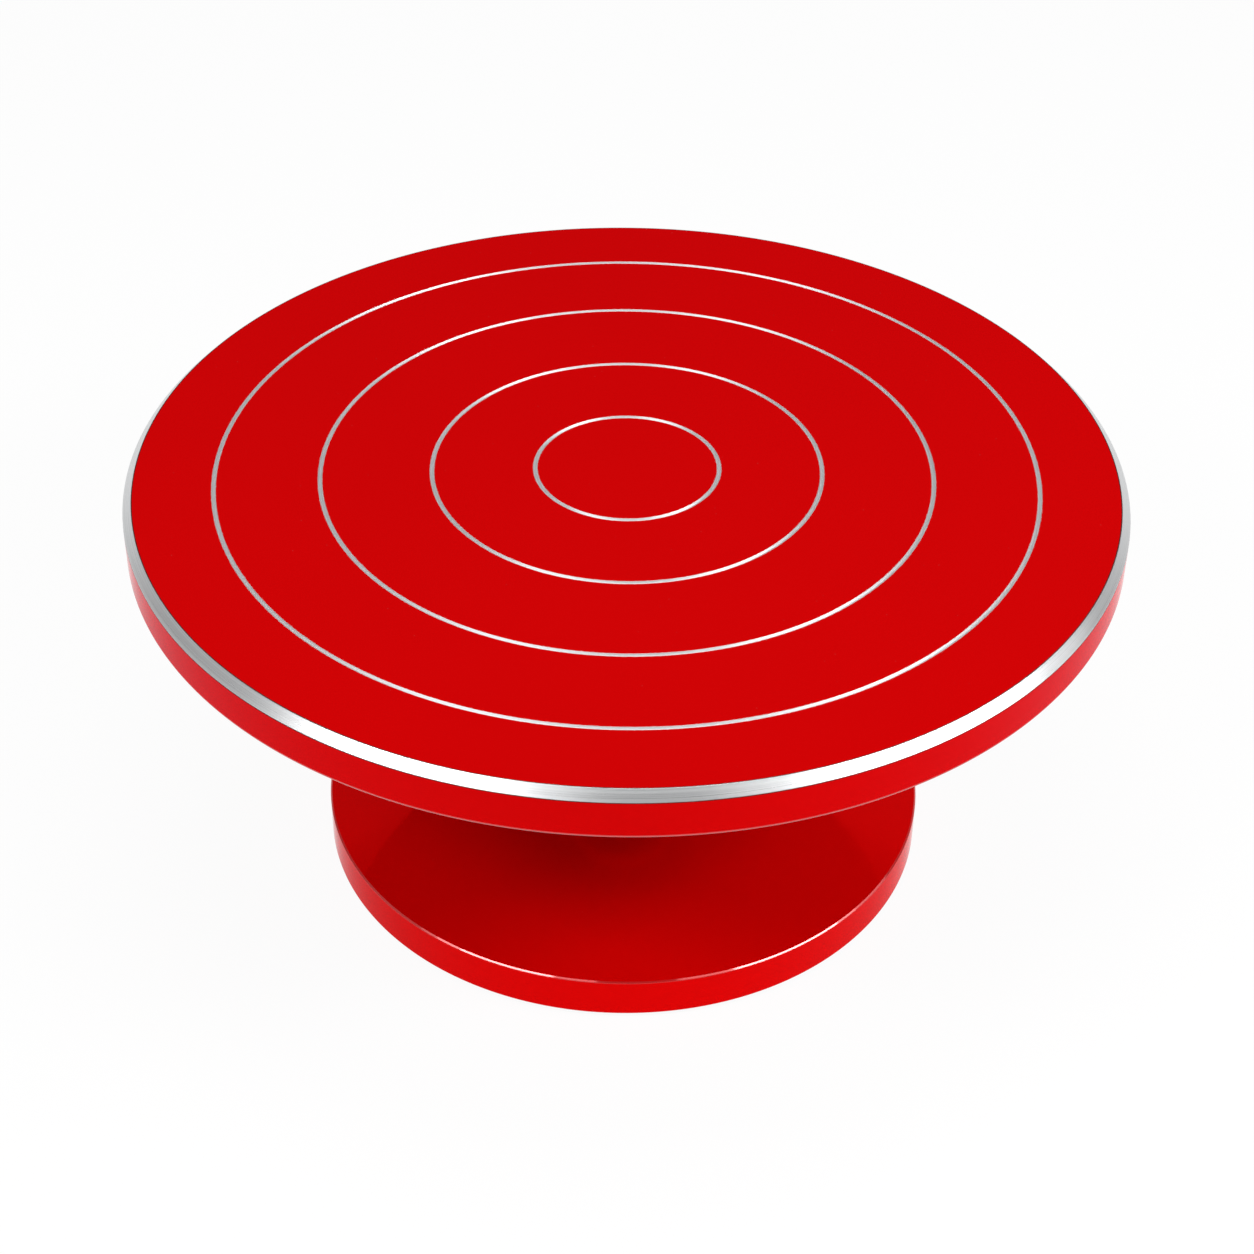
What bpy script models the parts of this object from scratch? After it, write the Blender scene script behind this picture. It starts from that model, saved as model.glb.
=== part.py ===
"""A banding wheel: a turned head on a spindle that runs in two ball bearings in the neck of a cast base."""

import math

import bmesh
import bpy
from mathutils import Matrix, Vector

MM = 0.001
GAP = 0.3 * MM  # between pieces that seat on each other

# Roundness of the turned pieces
LARGE_SIDES = 60
MEDIUM_SIDES = 24
SMALL_SIDES = 12
ARC_STEPS = 3
SHARP_ANGLE = math.radians(28)

# Head
OVERALL_HEIGHT = 136.5 * MM
HEAD_RADIUS = 150 * MM
RIM_HEIGHT = 15 * MM
HEAD_CHAMFER = 2.8 * MM
RIM_EDGE_RADIUS = 1.2 * MM
GUIDE_RING_RADII = (27.6 * MM, 58.5 * MM, 91.8 * MM, 123.2 * MM)
GUIDE_RING_WIDTH = 1.7 * MM
GUIDE_RING_DEPTH = 0.6 * MM
GUIDE_RING_SLOPE = 0.35 * MM
WEB_RADIUS = 84 * MM
WEB_DROP = 11 * MM
WEB_BLEND_RADIUS = 30 * MM

# Hub under the head, with a skirt that reaches down over the neck
HUB_RADIUS = 36 * MM
HUB_BLEND_RADIUS = 6 * MM
SKIRT_BOTTOM = 92 * MM
SKIRT_INNER_RADIUS = 31.2 * MM
SKIRT_EDGE_RADIUS = 1.2 * MM

# Base
FOOT_PROUD = 1.5 * MM
BASE_RADIUS = 95.6 * MM
BASE_WALL_HEIGHT = 13.3 * MM
BASE_EDGE_RADIUS = 1.2 * MM
BASE_BOTTOM_CHAMFER = 1 * MM
BASE_SLOPE = math.radians(16.5)
BASE_SHELL = 5.3 * MM
BASE_RIM_WIDTH = 18 * MM
BASE_HOLLOW_RADIUS = 4 * MM

# Neck of the base
NECK_RADIUS = 30 * MM
NECK_TOP = 97 * MM
NECK_CHAMFER = 1 * MM
NECK_FLARE_RADIUS = 14 * MM
NECK_BORE_RADIUS = 20.8 * MM
BOSS_RADIUS = 36 * MM
BOSS_BOTTOM = 17 * MM

# Ball bearings, 20 x 47 x 14
BEARING_BORE_RADIUS = 10 * MM
BEARING_OUTER_RADIUS = 23.5 * MM
BEARING_WIDTH = 14 * MM
RACE_CHAMFER = 0.8 * MM
INNER_LAND_RADIUS = 13.3 * MM
OUTER_LAND_RADIUS = 20.4 * MM
PITCH_RADIUS = 16.75 * MM
BALL_RADIUS = 3.97 * MM
BALL_COUNT = 8
BALL_SEGMENTS = 8
BALL_RINGS = 6
TRACK_RADIUS = BALL_RADIUS + 0.35 * MM
UPPER_BEARING_HEIGHT = 89 * MM
LOWER_BEARING_HEIGHT = 37 * MM
SHIELD_THICKNESS = 0.8 * MM
SHIELD_INSET = 0.1 * MM
SHIELD_INNER_RADIUS = 13.9 * MM
CAGE_INNER_RADIUS = 15.3 * MM
CAGE_OUTER_RADIUS = 18.2 * MM
CAGE_TOP = 2.4 * MM
CAGE_BOTTOM = -5.5 * MM

# Spindle
SHAFT_RADIUS = BEARING_BORE_RADIUS - GAP
SHAFT_BOTTOM = 23 * MM
SHAFT_CHAMFER = 1 * MM
COLLAR_RADIUS = 12.8 * MM
FLANGE_RADIUS = 28 * MM
FLANGE_BOTTOM = 99 * MM
FLANGE_THICKNESS = 6 * MM
SPIGOT_RADIUS = 11.7 * MM
SPIGOT_HEIGHT = 7 * MM
SPIGOT_CHAMFER = 0.8 * MM
SLEEVE_RADIUS = 13 * MM
SHIM_RADIUS = 14 * MM
SHIM_THICKNESS = 1 * MM

# Retaining rings
CLIP_GROOVE_DEPTH = 0.7 * MM
CLIP_GROOVE_PLAY = 0.2 * MM
SPINDLE_CLIP_THICKNESS = 1.3 * MM
SPINDLE_CLIP_WIDTH = 3.4 * MM
HOUSING_CLIP_THICKNESS = 1.7 * MM
HOUSING_CLIP_WIDTH = 3.4 * MM
HOUSING_GROOVE_DEPTH = 1.4 * MM
LUG_RADIUS = 2.3 * MM
LUG_HOLE_RADIUS = 0.9 * MM
LUG_THINNING = 0.1 * MM
CLIP_OPENING = 5 * MM

# Countersunk screws that hold the flange, M5
FLANGE_SCREW_COUNT = 4
FLANGE_SCREW_PITCH_RADIUS = 20 * MM
FLANGE_SCREW_RADIUS = 2.5 * MM
FLANGE_SCREW_HEAD_RADIUS = 4.7 * MM
FLANGE_SCREW_HEAD_EDGE = 0.3 * MM
FLANGE_SCREW_LENGTH = 16 * MM
FLANGE_SCREW_TIP = 0.6 * MM
FLANGE_SOCKET_RADIUS = 1.75 * MM
FLANGE_SOCKET_DEPTH = 2.2 * MM

# Pan-head screws that hold the bottom cap, M4
CAP_SCREW_COUNT = 3
CAP_SCREW_PITCH_RADIUS = 29.5 * MM
CAP_SCREW_RADIUS = 1.95 * MM
CAP_SCREW_REACH = 8.5 * MM
CAP_SCREW_TIP = 0.5 * MM
CAP_SCREW_HEAD_RADIUS = 3.6 * MM
CAP_SCREW_HEAD_HEIGHT = 2.5 * MM
CAP_SCREW_HEAD_ROUNDING = 1.6 * MM
CAP_SOCKET_RADIUS = 1.45 * MM
CAP_SOCKET_DEPTH = 1.5 * MM

# Bottom cap, pressed from sheet with a shallow dish
CAP_RADIUS = 34 * MM
CAP_THICKNESS = 1.5 * MM
CAP_DISH_RADIUS = 22 * MM
CAP_DISH_DEPTH = 2 * MM
CAP_DISH_SLOPE = 3 * MM

# Feet
FOOT_COUNT = 4
FOOT_RADIUS = 6.5 * MM
FOOT_HEIGHT = 3.7 * MM
FOOT_EDGE_RADIUS = 0.8 * MM
FOOT_PITCH_RADIUS = BASE_RADIUS - BASE_RIM_WIDTH / 2

# Heights that follow from the sizes above
RIM_BOTTOM = OVERALL_HEIGHT - RIM_HEIGHT
FLANGE_TOP = FLANGE_BOTTOM + FLANGE_THICKNESS
FLANGE_SEAT = FLANGE_TOP + GAP
BASE_BOTTOM = FOOT_PROUD
BASE_CORNER = BASE_BOTTOM + BASE_WALL_HEIGHT
HALF_WIDTH = BEARING_WIDTH / 2
UPPER_BEARING_TOP = UPPER_BEARING_HEIGHT + HALF_WIDTH
UPPER_BEARING_BOTTOM = UPPER_BEARING_HEIGHT - HALF_WIDTH
LOWER_BEARING_TOP = LOWER_BEARING_HEIGHT + HALF_WIDTH
LOWER_BEARING_BOTTOM = LOWER_BEARING_HEIGHT - HALF_WIDTH
SEAT_RADIUS = BEARING_OUTER_RADIUS + GAP
SHIM_TOP = LOWER_BEARING_BOTTOM - GAP
SPINDLE_CLIP_TOP = SHIM_TOP - SHIM_THICKNESS - GAP
HOUSING_CLIP_TOP = LOWER_BEARING_BOTTOM - GAP
CAP_TOP = BOSS_BOTTOM - GAP

# Finishes: linear colour, roughness, metallic
FINISHES = {
    "red_enamel": ((0.60, 0.002, 0.003), 0.15, 0.0),
    "turned_aluminium": ((0.62, 0.63, 0.64), 0.25, 1.0),
    "ground_steel": ((0.50, 0.50, 0.51), 0.22, 1.0),
    "bearing_steel": ((0.58, 0.58, 0.60), 0.12, 1.0),
    "spring_steel": ((0.05, 0.05, 0.055), 0.40, 0.8),
    "black_screw": ((0.03, 0.03, 0.032), 0.45, 0.7),
    "zinc_plate": ((0.55, 0.56, 0.58), 0.35, 1.0),
    "cage_nylon": ((0.55, 0.47, 0.33), 0.55, 0.0),
    "foot_rubber": ((0.012, 0.012, 0.013), 0.85, 0.0),
}


def clear_scene():
    """Removes what the scene holds."""
    for old in list(bpy.data.objects):
        bpy.data.objects.remove(old)


def new_collection(name):
    """A collection under the scene."""
    collection = bpy.data.collections.new(name)
    bpy.context.scene.collection.children.link(collection)
    return collection


def new_finish(name):
    """The Principled material of that name in FINISHES."""
    colour, roughness, metallic = FINISHES[name]
    finish = bpy.data.materials.new(name)
    finish.use_nodes = True
    shader = finish.node_tree.nodes["Principled BSDF"]
    shader.inputs["Base Color"].default_value = (*colour, 1)
    shader.inputs["Roughness"].default_value = roughness
    shader.inputs["Metallic"].default_value = metallic
    return finish


def new_axis(name):
    """An empty on the spin axis, which carries the pieces that turn together."""
    axis = bpy.data.objects.new(name, None)
    axis.empty_display_size = HEAD_RADIUS / 4
    PARTS.objects.link(axis)
    return axis


def rounded(corners):
    """The outline through corners (radius, height, rounding), with an arc where rounding isn't 0."""
    points = []
    for index, (x, z, rounding) in enumerate(corners):
        corner = Vector((x, z))
        if not rounding:
            points.append(corner)
            continue
        back = (Vector(corners[index - 1][:2]) - corner).normalized()
        ahead = (Vector(corners[(index + 1) % len(corners)][:2]) - corner).normalized()
        half_angle = back.angle(ahead) / 2
        centre = corner + (back + ahead).normalized() * (rounding / math.sin(half_angle))
        reach = rounding / math.tan(half_angle)
        first = corner + back * reach - centre
        last = corner + ahead * reach - centre
        start = math.atan2(first.y, first.x)
        sweep = (math.atan2(last.y, last.x) - start + math.pi) % math.tau - math.pi
        for step in range(ARC_STEPS + 1):
            angle = start + sweep * step / ARC_STEPS
            points.append(centre + rounding * Vector((math.cos(angle), math.sin(angle))))
    return points


def square(*corners):
    """Corners without rounding."""
    return [(x, z, 0) for x, z in corners]


def settled(obj):
    """The object with its modifiers applied and its round faces shaded smooth."""
    graph = bpy.context.evaluated_depsgraph_get()
    mesh = bpy.data.meshes.new_from_object(obj.evaluated_get(graph))
    mesh.name = obj.name
    mesh.shade_smooth()
    mesh.set_sharp_from_angle(angle=SHARP_ANGLE)
    obj.modifiers.clear()
    obj.data = mesh
    return obj


def turned(name, corners, sides, collection):
    """A solid of revolution about Z. The corners run down its outer side, from axis to axis or in a loop."""
    outline = bmesh.new()
    verts = [outline.verts.new((point.x, 0, point.y)) for point in rounded(corners)]
    for start, end in zip(verts, verts[1:]):
        outline.edges.new((start, end))
    if corners[0][0] > 0:
        outline.edges.new((verts[-1], verts[0]))
    mesh = bpy.data.meshes.new(name)
    outline.to_mesh(mesh)
    outline.free()
    obj = bpy.data.objects.new(name, mesh)
    collection.objects.link(obj)
    screw = obj.modifiers.new("turn", "SCREW")
    screw.steps = sides
    screw.render_steps = sides
    screw.use_merge_vertices = True
    screw.merge_threshold = 0.01 * MM
    return settled(obj)


def new_ring(name, outer, inner, top, bottom):
    """A plain turned ring."""
    corners = square((inner, top), (outer, top), (outer, bottom), (inner, bottom))
    return turned(name, corners, MEDIUM_SIDES, PARTS)


def around(count, pitch_radius, start=0.0):
    """One placement for each of count pieces spread evenly round a pitch circle."""
    for index in range(count):
        turn = Matrix.Rotation(start + math.tau * index / count, 4, "Z")
        yield turn @ Matrix.Translation((pitch_radius, 0, 0))


def new_helper(name, shape):
    """A mesh that only cuts or adds to a part."""
    mesh = bpy.data.meshes.new(name)
    shape.to_mesh(mesh)
    shape.free()
    helper = bpy.data.objects.new(name, mesh)
    HELPERS.objects.link(helper)
    return hidden(helper)


def hidden(helper):
    """The helper, kept out of the object."""
    helper.hide_render = True
    helper.display_type = "WIRE"
    return helper


def repeated(name, pattern, places):
    """One helper that holds a copy of the pattern's mesh at each place."""
    shape = bmesh.new()
    for place in places:
        before = len(shape.verts)
        shape.from_mesh(pattern.data)
        shape.verts.ensure_lookup_table()
        bmesh.ops.transform(shape, matrix=place, verts=shape.verts[before:])
    bpy.data.objects.remove(pattern)
    return new_helper(name, shape)


def combined(obj, helper, operation):
    """The object with the helper cut out of it or joined to it."""
    boolean = obj.modifiers.new(helper.name, "BOOLEAN")
    boolean.operation = operation
    boolean.solver = "EXACT"
    boolean.object = helper
    return settled(obj)


def dressed(obj, finish, axis):
    """The object in its finish, carried by its axis."""
    obj.data.materials.clear()
    obj.data.materials.append(FINISH[finish])
    obj.parent = axis
    return obj


def hex_socket(name, radius, depth, mouth):
    """A cutter for a hexagonal socket that opens downwards at the height of mouth."""
    shape = bmesh.new()
    bmesh.ops.create_cone(
        shape, cap_ends=True, segments=6, radius1=radius, radius2=radius, depth=2 * depth
    )
    bmesh.ops.translate(shape, vec=(0, 0, mouth), verts=shape.verts)
    return new_helper(name, shape)


def guide_ring(radius):
    """Corners of one guide ring, a shallow groove in the top face."""
    half = GUIDE_RING_WIDTH / 2
    floor = OVERALL_HEIGHT - GUIDE_RING_DEPTH
    return square(
        (radius - half, OVERALL_HEIGHT),
        (radius - half + GUIDE_RING_SLOPE, floor),
        (radius + half - GUIDE_RING_SLOPE, floor),
        (radius + half, OVERALL_HEIGHT),
    )


def is_bare(centre):
    """Whether a point of the head is on the turned chamfer or in a guide ring."""
    radius = math.hypot(centre.x, centre.y)
    on_chamfer = radius > HEAD_RADIUS - HEAD_CHAMFER and centre.z > OVERALL_HEIGHT - HEAD_CHAMFER
    nearest = min(abs(radius - ring) for ring in GUIDE_RING_RADII)
    in_ring = nearest < GUIDE_RING_WIDTH and OVERALL_HEIGHT - centre.z > GUIDE_RING_SLOPE / 2
    return on_chamfer or (in_ring and centre.z > RIM_BOTTOM)


def build_head(axis):
    """The head: top face with guide rings, chamfered rim, web, hub and skirt."""
    web_bottom = RIM_BOTTOM - WEB_DROP
    corners = square((0, OVERALL_HEIGHT))
    for radius in GUIDE_RING_RADII:
        corners += guide_ring(radius)
    corners += square(
        (HEAD_RADIUS - HEAD_CHAMFER, OVERALL_HEIGHT), (HEAD_RADIUS, OVERALL_HEIGHT - HEAD_CHAMFER)
    )
    corners += [
        (HEAD_RADIUS, RIM_BOTTOM, RIM_EDGE_RADIUS),
        (WEB_RADIUS, RIM_BOTTOM, WEB_BLEND_RADIUS),
        (HUB_RADIUS, web_bottom, HUB_BLEND_RADIUS),
        (HUB_RADIUS, SKIRT_BOTTOM, SKIRT_EDGE_RADIUS),
    ]
    bore = SPIGOT_RADIUS + GAP
    bore_top = FLANGE_TOP + SPIGOT_HEIGHT + GAP
    corners += square(
        (SKIRT_INNER_RADIUS, SKIRT_BOTTOM),
        (SKIRT_INNER_RADIUS, FLANGE_SEAT),
        (bore, FLANGE_SEAT),
        (bore, bore_top),
        (0, bore_top),
    )
    head = turned("wheel_head", corners, LARGE_SIDES, PARTS)
    hole_radius = FLANGE_SCREW_RADIUS + GAP
    hole_top = FLANGE_BOTTOM + FLANGE_SCREW_LENGTH + 2 * GAP
    hole = turned(
        "tapped_hole",
        square((0, hole_top), (hole_radius, hole_top), (hole_radius, FLANGE_BOTTOM), (0, FLANGE_BOTTOM)),
        SMALL_SIDES,
        HELPERS,
    )
    places = around(FLANGE_SCREW_COUNT, FLANGE_SCREW_PITCH_RADIUS)
    combined(head, repeated("hub_tapped_holes", hole, places), "DIFFERENCE")
    dressed(head, "red_enamel", axis)
    head.data.materials.append(FINISH["turned_aluminium"])
    for face in head.data.polygons:
        face.material_index = int(is_bare(face.center))


def build_spindle(axis):
    """The spindle: spigot, flange with countersunk holes, collar and shaft."""
    spigot_top = FLANGE_TOP + SPIGOT_HEIGHT
    groove_radius = SHAFT_RADIUS - CLIP_GROOVE_DEPTH
    groove_top = SPINDLE_CLIP_TOP + CLIP_GROOVE_PLAY
    groove_bottom = SPINDLE_CLIP_TOP - SPINDLE_CLIP_THICKNESS - CLIP_GROOVE_PLAY
    collar_bottom = UPPER_BEARING_TOP + GAP
    corners = square(
        (0, spigot_top),
        (SPIGOT_RADIUS - SPIGOT_CHAMFER, spigot_top),
        (SPIGOT_RADIUS, spigot_top - SPIGOT_CHAMFER),
        (SPIGOT_RADIUS, FLANGE_TOP),
        (FLANGE_RADIUS, FLANGE_TOP),
        (FLANGE_RADIUS, FLANGE_BOTTOM),
        (COLLAR_RADIUS, FLANGE_BOTTOM),
        (COLLAR_RADIUS, collar_bottom),
        (SHAFT_RADIUS, collar_bottom),
        (SHAFT_RADIUS, groove_top),
        (groove_radius, groove_top),
        (groove_radius, groove_bottom),
        (SHAFT_RADIUS, groove_bottom),
        (SHAFT_RADIUS, SHAFT_BOTTOM + SHAFT_CHAMFER),
        (SHAFT_RADIUS - SHAFT_CHAMFER, SHAFT_BOTTOM),
        (0, SHAFT_BOTTOM),
    )
    spindle = turned("spindle", corners, MEDIUM_SIDES, PARTS)
    narrow = FLANGE_SCREW_RADIUS + GAP
    wide = FLANGE_SCREW_HEAD_RADIUS + 2 * GAP
    above = FLANGE_TOP + FLANGE_THICKNESS
    below = FLANGE_BOTTOM - FLANGE_THICKNESS
    mouth = FLANGE_BOTTOM + FLANGE_SCREW_HEAD_EDGE + GAP
    hole = turned(
        "countersunk_hole",
        square(
            (0, above),
            (narrow, above),
            (narrow, mouth + wide - narrow),
            (wide, mouth),
            (wide, below),
            (0, below),
        ),
        SMALL_SIDES,
        HELPERS,
    )
    places = around(FLANGE_SCREW_COUNT, FLANGE_SCREW_PITCH_RADIUS)
    combined(spindle, repeated("flange_holes", hole, places), "DIFFERENCE")
    dressed(spindle, "ground_steel", axis)


def build_flange_screws(axis):
    """The countersunk socket screws, put in from below."""
    bottom = FLANGE_BOTTOM + FLANGE_SCREW_HEAD_EDGE
    top = FLANGE_BOTTOM + FLANGE_SCREW_LENGTH
    edge_top = bottom + FLANGE_SCREW_HEAD_EDGE
    neck = edge_top + FLANGE_SCREW_HEAD_RADIUS - FLANGE_SCREW_RADIUS
    corners = square(
        (0, top),
        (FLANGE_SCREW_RADIUS - FLANGE_SCREW_TIP, top),
        (FLANGE_SCREW_RADIUS, top - FLANGE_SCREW_TIP),
        (FLANGE_SCREW_RADIUS, neck),
        (FLANGE_SCREW_HEAD_RADIUS, edge_top),
        (FLANGE_SCREW_HEAD_RADIUS, bottom),
        (0, bottom),
    )
    screw = turned("flange_screw", corners, SMALL_SIDES, HELPERS)
    socket = hex_socket("flange_screw_socket", FLANGE_SOCKET_RADIUS, FLANGE_SOCKET_DEPTH, bottom)
    combined(screw, socket, "DIFFERENCE")
    places = around(FLANGE_SCREW_COUNT, FLANGE_SCREW_PITCH_RADIUS)
    copies("flange_screw", screw, places, "black_screw", axis)


def copies(name, pattern, places, finish, axis):
    """A numbered object at each place, all sharing the pattern's mesh."""
    for number, place in enumerate(places, 1):
        copy = bpy.data.objects.new(f"{name}_{number}", pattern.data)
        PARTS.objects.link(copy)
        copy.matrix_world = place
        dressed(copy, finish, axis)
    bpy.data.objects.remove(pattern)


def track(land_radius):
    """Corners of a ball track cut into a land, from its top edge to its bottom edge."""
    half = math.acos(abs(PITCH_RADIUS - land_radius) / TRACK_RADIUS)
    side = math.copysign(1, land_radius - PITCH_RADIUS)
    steps = ARC_STEPS + 1
    corners = []
    for step in range(steps + 1):
        angle = half - 2 * half * step / steps
        reach = TRACK_RADIUS * math.cos(angle)
        corners.append((PITCH_RADIUS + side * reach, TRACK_RADIUS * math.sin(angle), 0))
    return corners


def build_races(name, height, inner_axis, outer_axis):
    """The two races of a bearing. The inner one turns with the spindle."""
    top = HALF_WIDTH
    bottom = -HALF_WIDTH
    low = bottom + RACE_CHAMFER
    high = top - RACE_CHAMFER
    bore = BEARING_BORE_RADIUS
    inner = square((bore, high), (bore + RACE_CHAMFER, top), (INNER_LAND_RADIUS, top))
    inner += track(INNER_LAND_RADIUS)
    inner += square((INNER_LAND_RADIUS, bottom), (bore + RACE_CHAMFER, bottom), (bore, low))
    rim = BEARING_OUTER_RADIUS
    outer = square((OUTER_LAND_RADIUS, top), (rim - RACE_CHAMFER, top), (rim, high))
    outer += square((rim, low), (rim - RACE_CHAMFER, bottom), (OUTER_LAND_RADIUS, bottom))
    outer += track(OUTER_LAND_RADIUS)[::-1]
    for part, corners, axis in (("inner", inner, inner_axis), ("outer", outer, outer_axis)):
        race = turned(f"{name}_{part}_race", corners, MEDIUM_SIDES, PARTS)
        dressed(race, "bearing_steel", axis)
        race.location.z = height


def build_shields(name, height, axis):
    """The two sheet shields of a bearing, held in the outer race."""
    outside = HALF_WIDTH - SHIELD_INSET
    inside = outside - SHIELD_THICKNESS
    for side, top, bottom in (("top", outside, inside), ("bottom", -inside, -outside)):
        shield = new_ring(
            f"{name}_{side}_shield", OUTER_LAND_RADIUS - GAP, SHIELD_INNER_RADIUS, top, bottom
        )
        dressed(shield, "zinc_plate", axis)
        shield.location.z = height


def new_ball(name, radius):
    """A sphere in the helpers' collection."""
    shape = bmesh.new()
    bmesh.ops.create_uvsphere(
        shape, u_segments=BALL_SEGMENTS, v_segments=BALL_RINGS, radius=radius
    )
    ball = new_helper(name, shape)
    ball.data.shade_smooth()
    return ball


def build_ball_set(name, height, axis):
    """The balls of a bearing and the crown cage that spaces them."""
    axis.location.z = height
    bpy.context.view_layer.update()
    cage = new_ring(f"{name}_cage", CAGE_OUTER_RADIUS, CAGE_INNER_RADIUS, CAGE_TOP, CAGE_BOTTOM)
    pocket = new_ball(f"{name}_pocket", TRACK_RADIUS)
    pockets = repeated(f"{name}_pockets", pocket, around(BALL_COUNT, PITCH_RADIUS))
    dressed(combined(cage, pockets, "DIFFERENCE"), "cage_nylon", axis)
    pattern = new_ball(f"{name}_ball", BALL_RADIUS)
    copies(f"{name}_ball", pattern, around(BALL_COUNT, PITCH_RADIUS), "bearing_steel", axis)


def build_bearing(name, height, wheel_axis, base_axis):
    """One shielded ball bearing, with an axis of its own for the balls and cage."""
    build_races(name, height, wheel_axis, base_axis)
    build_shields(name, height, base_axis)
    build_ball_set(name, height, new_axis(f"{name}_ball_axis"))


def build_retaining_ring(name, outer, inner, lug_radius, top, thickness, axis):
    """A sprung ring with an opening at +X and a drilled lug on each side of it."""
    bottom = top - thickness
    ring = new_ring(name, outer, inner, top, bottom)
    middle = (outer + inner) / 2
    lug_angle = (CLIP_OPENING / 2 + LUG_RADIUS) / middle
    lugs = bmesh.new()
    cuts = bmesh.new()
    for angle in (lug_angle, -lug_angle):
        place = Matrix.Rotation(angle, 4, "Z") @ Matrix.Translation(
            (lug_radius, 0, (top + bottom) / 2)
        )
        for shape, radius, depth in (
            (lugs, LUG_RADIUS, thickness - 2 * LUG_THINNING),
            (cuts, LUG_HOLE_RADIUS, 2 * thickness),
        ):
            bmesh.ops.create_cone(
                shape,
                cap_ends=True,
                segments=SMALL_SIDES // 2,
                radius1=radius,
                radius2=radius,
                depth=depth,
                matrix=place,
            )
    opening = Matrix.Diagonal((2 * outer, CLIP_OPENING, 2 * thickness, 1))
    opening = Matrix.Translation((1.5 * outer, 0, top)) @ opening
    bmesh.ops.create_cube(cuts, size=1, matrix=opening)
    combined(ring, new_helper(f"{name}_lugs", lugs), "UNION")
    combined(ring, new_helper(f"{name}_cuts", cuts), "DIFFERENCE")
    dressed(ring, "spring_steel", axis)


def build_spindle_fittings(axis):
    """The spacer between the inner races, and the shim and ring below them."""
    spacer = new_ring(
        "spacer_sleeve",
        SLEEVE_RADIUS,
        BEARING_BORE_RADIUS,
        UPPER_BEARING_BOTTOM - GAP,
        LOWER_BEARING_TOP + GAP,
    )
    dressed(spacer, "ground_steel", axis)
    shim = new_ring(
        "shim_washer", SHIM_RADIUS, BEARING_BORE_RADIUS, SHIM_TOP, SHIM_TOP - SHIM_THICKNESS
    )
    dressed(shim, "ground_steel", axis)
    inner = SHAFT_RADIUS - CLIP_GROOVE_DEPTH + GAP
    build_retaining_ring(
        "spindle_circlip",
        inner + SPINDLE_CLIP_WIDTH,
        inner,
        inner + SPINDLE_CLIP_WIDTH,
        SPINDLE_CLIP_TOP,
        SPINDLE_CLIP_THICKNESS,
        axis,
    )


def build_base(axis):
    """The base: neck with two bearing seats, flared cone, wall, bottom rim and hollow underside."""
    rise = math.tan(BASE_SLOPE)
    neck_foot = BASE_CORNER + (BASE_RADIUS - NECK_RADIUS) * rise
    hollow_radius = BASE_RADIUS - BASE_RIM_WIDTH
    under_corner = BASE_CORNER - BASE_SHELL / math.cos(BASE_SLOPE)
    hollow_outer_top = under_corner + BASE_RIM_WIDTH * rise
    hollow_inner_top = under_corner + (BASE_RADIUS - BOSS_RADIUS) * rise
    groove_radius = SEAT_RADIUS + HOUSING_GROOVE_DEPTH
    groove_bottom = HOUSING_CLIP_TOP - HOUSING_CLIP_THICKNESS - CLIP_GROOVE_PLAY
    upper_shoulder = UPPER_BEARING_BOTTOM - GAP
    lower_shoulder = LOWER_BEARING_TOP + GAP
    corners = square(
        (SEAT_RADIUS, NECK_TOP),
        (NECK_RADIUS - NECK_CHAMFER, NECK_TOP),
        (NECK_RADIUS, NECK_TOP - NECK_CHAMFER),
    )
    corners += [
        (NECK_RADIUS, neck_foot, NECK_FLARE_RADIUS),
        (BASE_RADIUS, BASE_CORNER, BASE_EDGE_RADIUS),
    ]
    corners += square(
        (BASE_RADIUS, BASE_BOTTOM + BASE_BOTTOM_CHAMFER),
        (BASE_RADIUS - BASE_BOTTOM_CHAMFER, BASE_BOTTOM),
        (hollow_radius, BASE_BOTTOM),
    )
    corners += [
        (hollow_radius, hollow_outer_top, BASE_HOLLOW_RADIUS),
        (BOSS_RADIUS, hollow_inner_top, BASE_HOLLOW_RADIUS),
    ]
    corners += square(
        (BOSS_RADIUS, BOSS_BOTTOM),
        (SEAT_RADIUS, BOSS_BOTTOM),
        (SEAT_RADIUS, groove_bottom),
        (groove_radius, groove_bottom),
        (groove_radius, LOWER_BEARING_BOTTOM),
        (SEAT_RADIUS, LOWER_BEARING_BOTTOM),
        (SEAT_RADIUS, lower_shoulder),
        (NECK_BORE_RADIUS, lower_shoulder),
        (NECK_BORE_RADIUS, upper_shoulder),
        (SEAT_RADIUS, upper_shoulder),
    )
    base = turned("base_casting", corners, LARGE_SIDES, PARTS)
    pocket_radius = FOOT_RADIUS + GAP
    pocket = turned(
        "foot_pocket",
        square(
            (0, FOOT_HEIGHT + GAP), (pocket_radius, FOOT_HEIGHT + GAP), (pocket_radius, 0), (0, 0)
        ),
        SMALL_SIDES,
        HELPERS,
    )
    combined(base, repeated("foot_pockets", pocket, foot_places()), "DIFFERENCE")
    combined(base, cap_screw_holes("boss_tapped_holes"), "DIFFERENCE")
    dressed(base, "red_enamel", axis)


def foot_places():
    """Where the feet sit under the bottom rim."""
    return around(FOOT_COUNT, FOOT_PITCH_RADIUS, math.pi / FOOT_COUNT)


def cap_screw_places():
    """Where the bottom cap's screws sit."""
    return around(CAP_SCREW_COUNT, CAP_SCREW_PITCH_RADIUS, math.pi / 2)


def cap_screw_holes(name):
    """A cutter for the holes that the bottom cap's screws go through."""
    radius = CAP_SCREW_RADIUS + GAP
    top = BOSS_BOTTOM + CAP_SCREW_REACH + GAP
    hole = turned("cap_hole", square((0, top), (radius, top), (radius, 0), (0, 0)), SMALL_SIDES, HELPERS)
    return repeated(name, hole, cap_screw_places())


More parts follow.
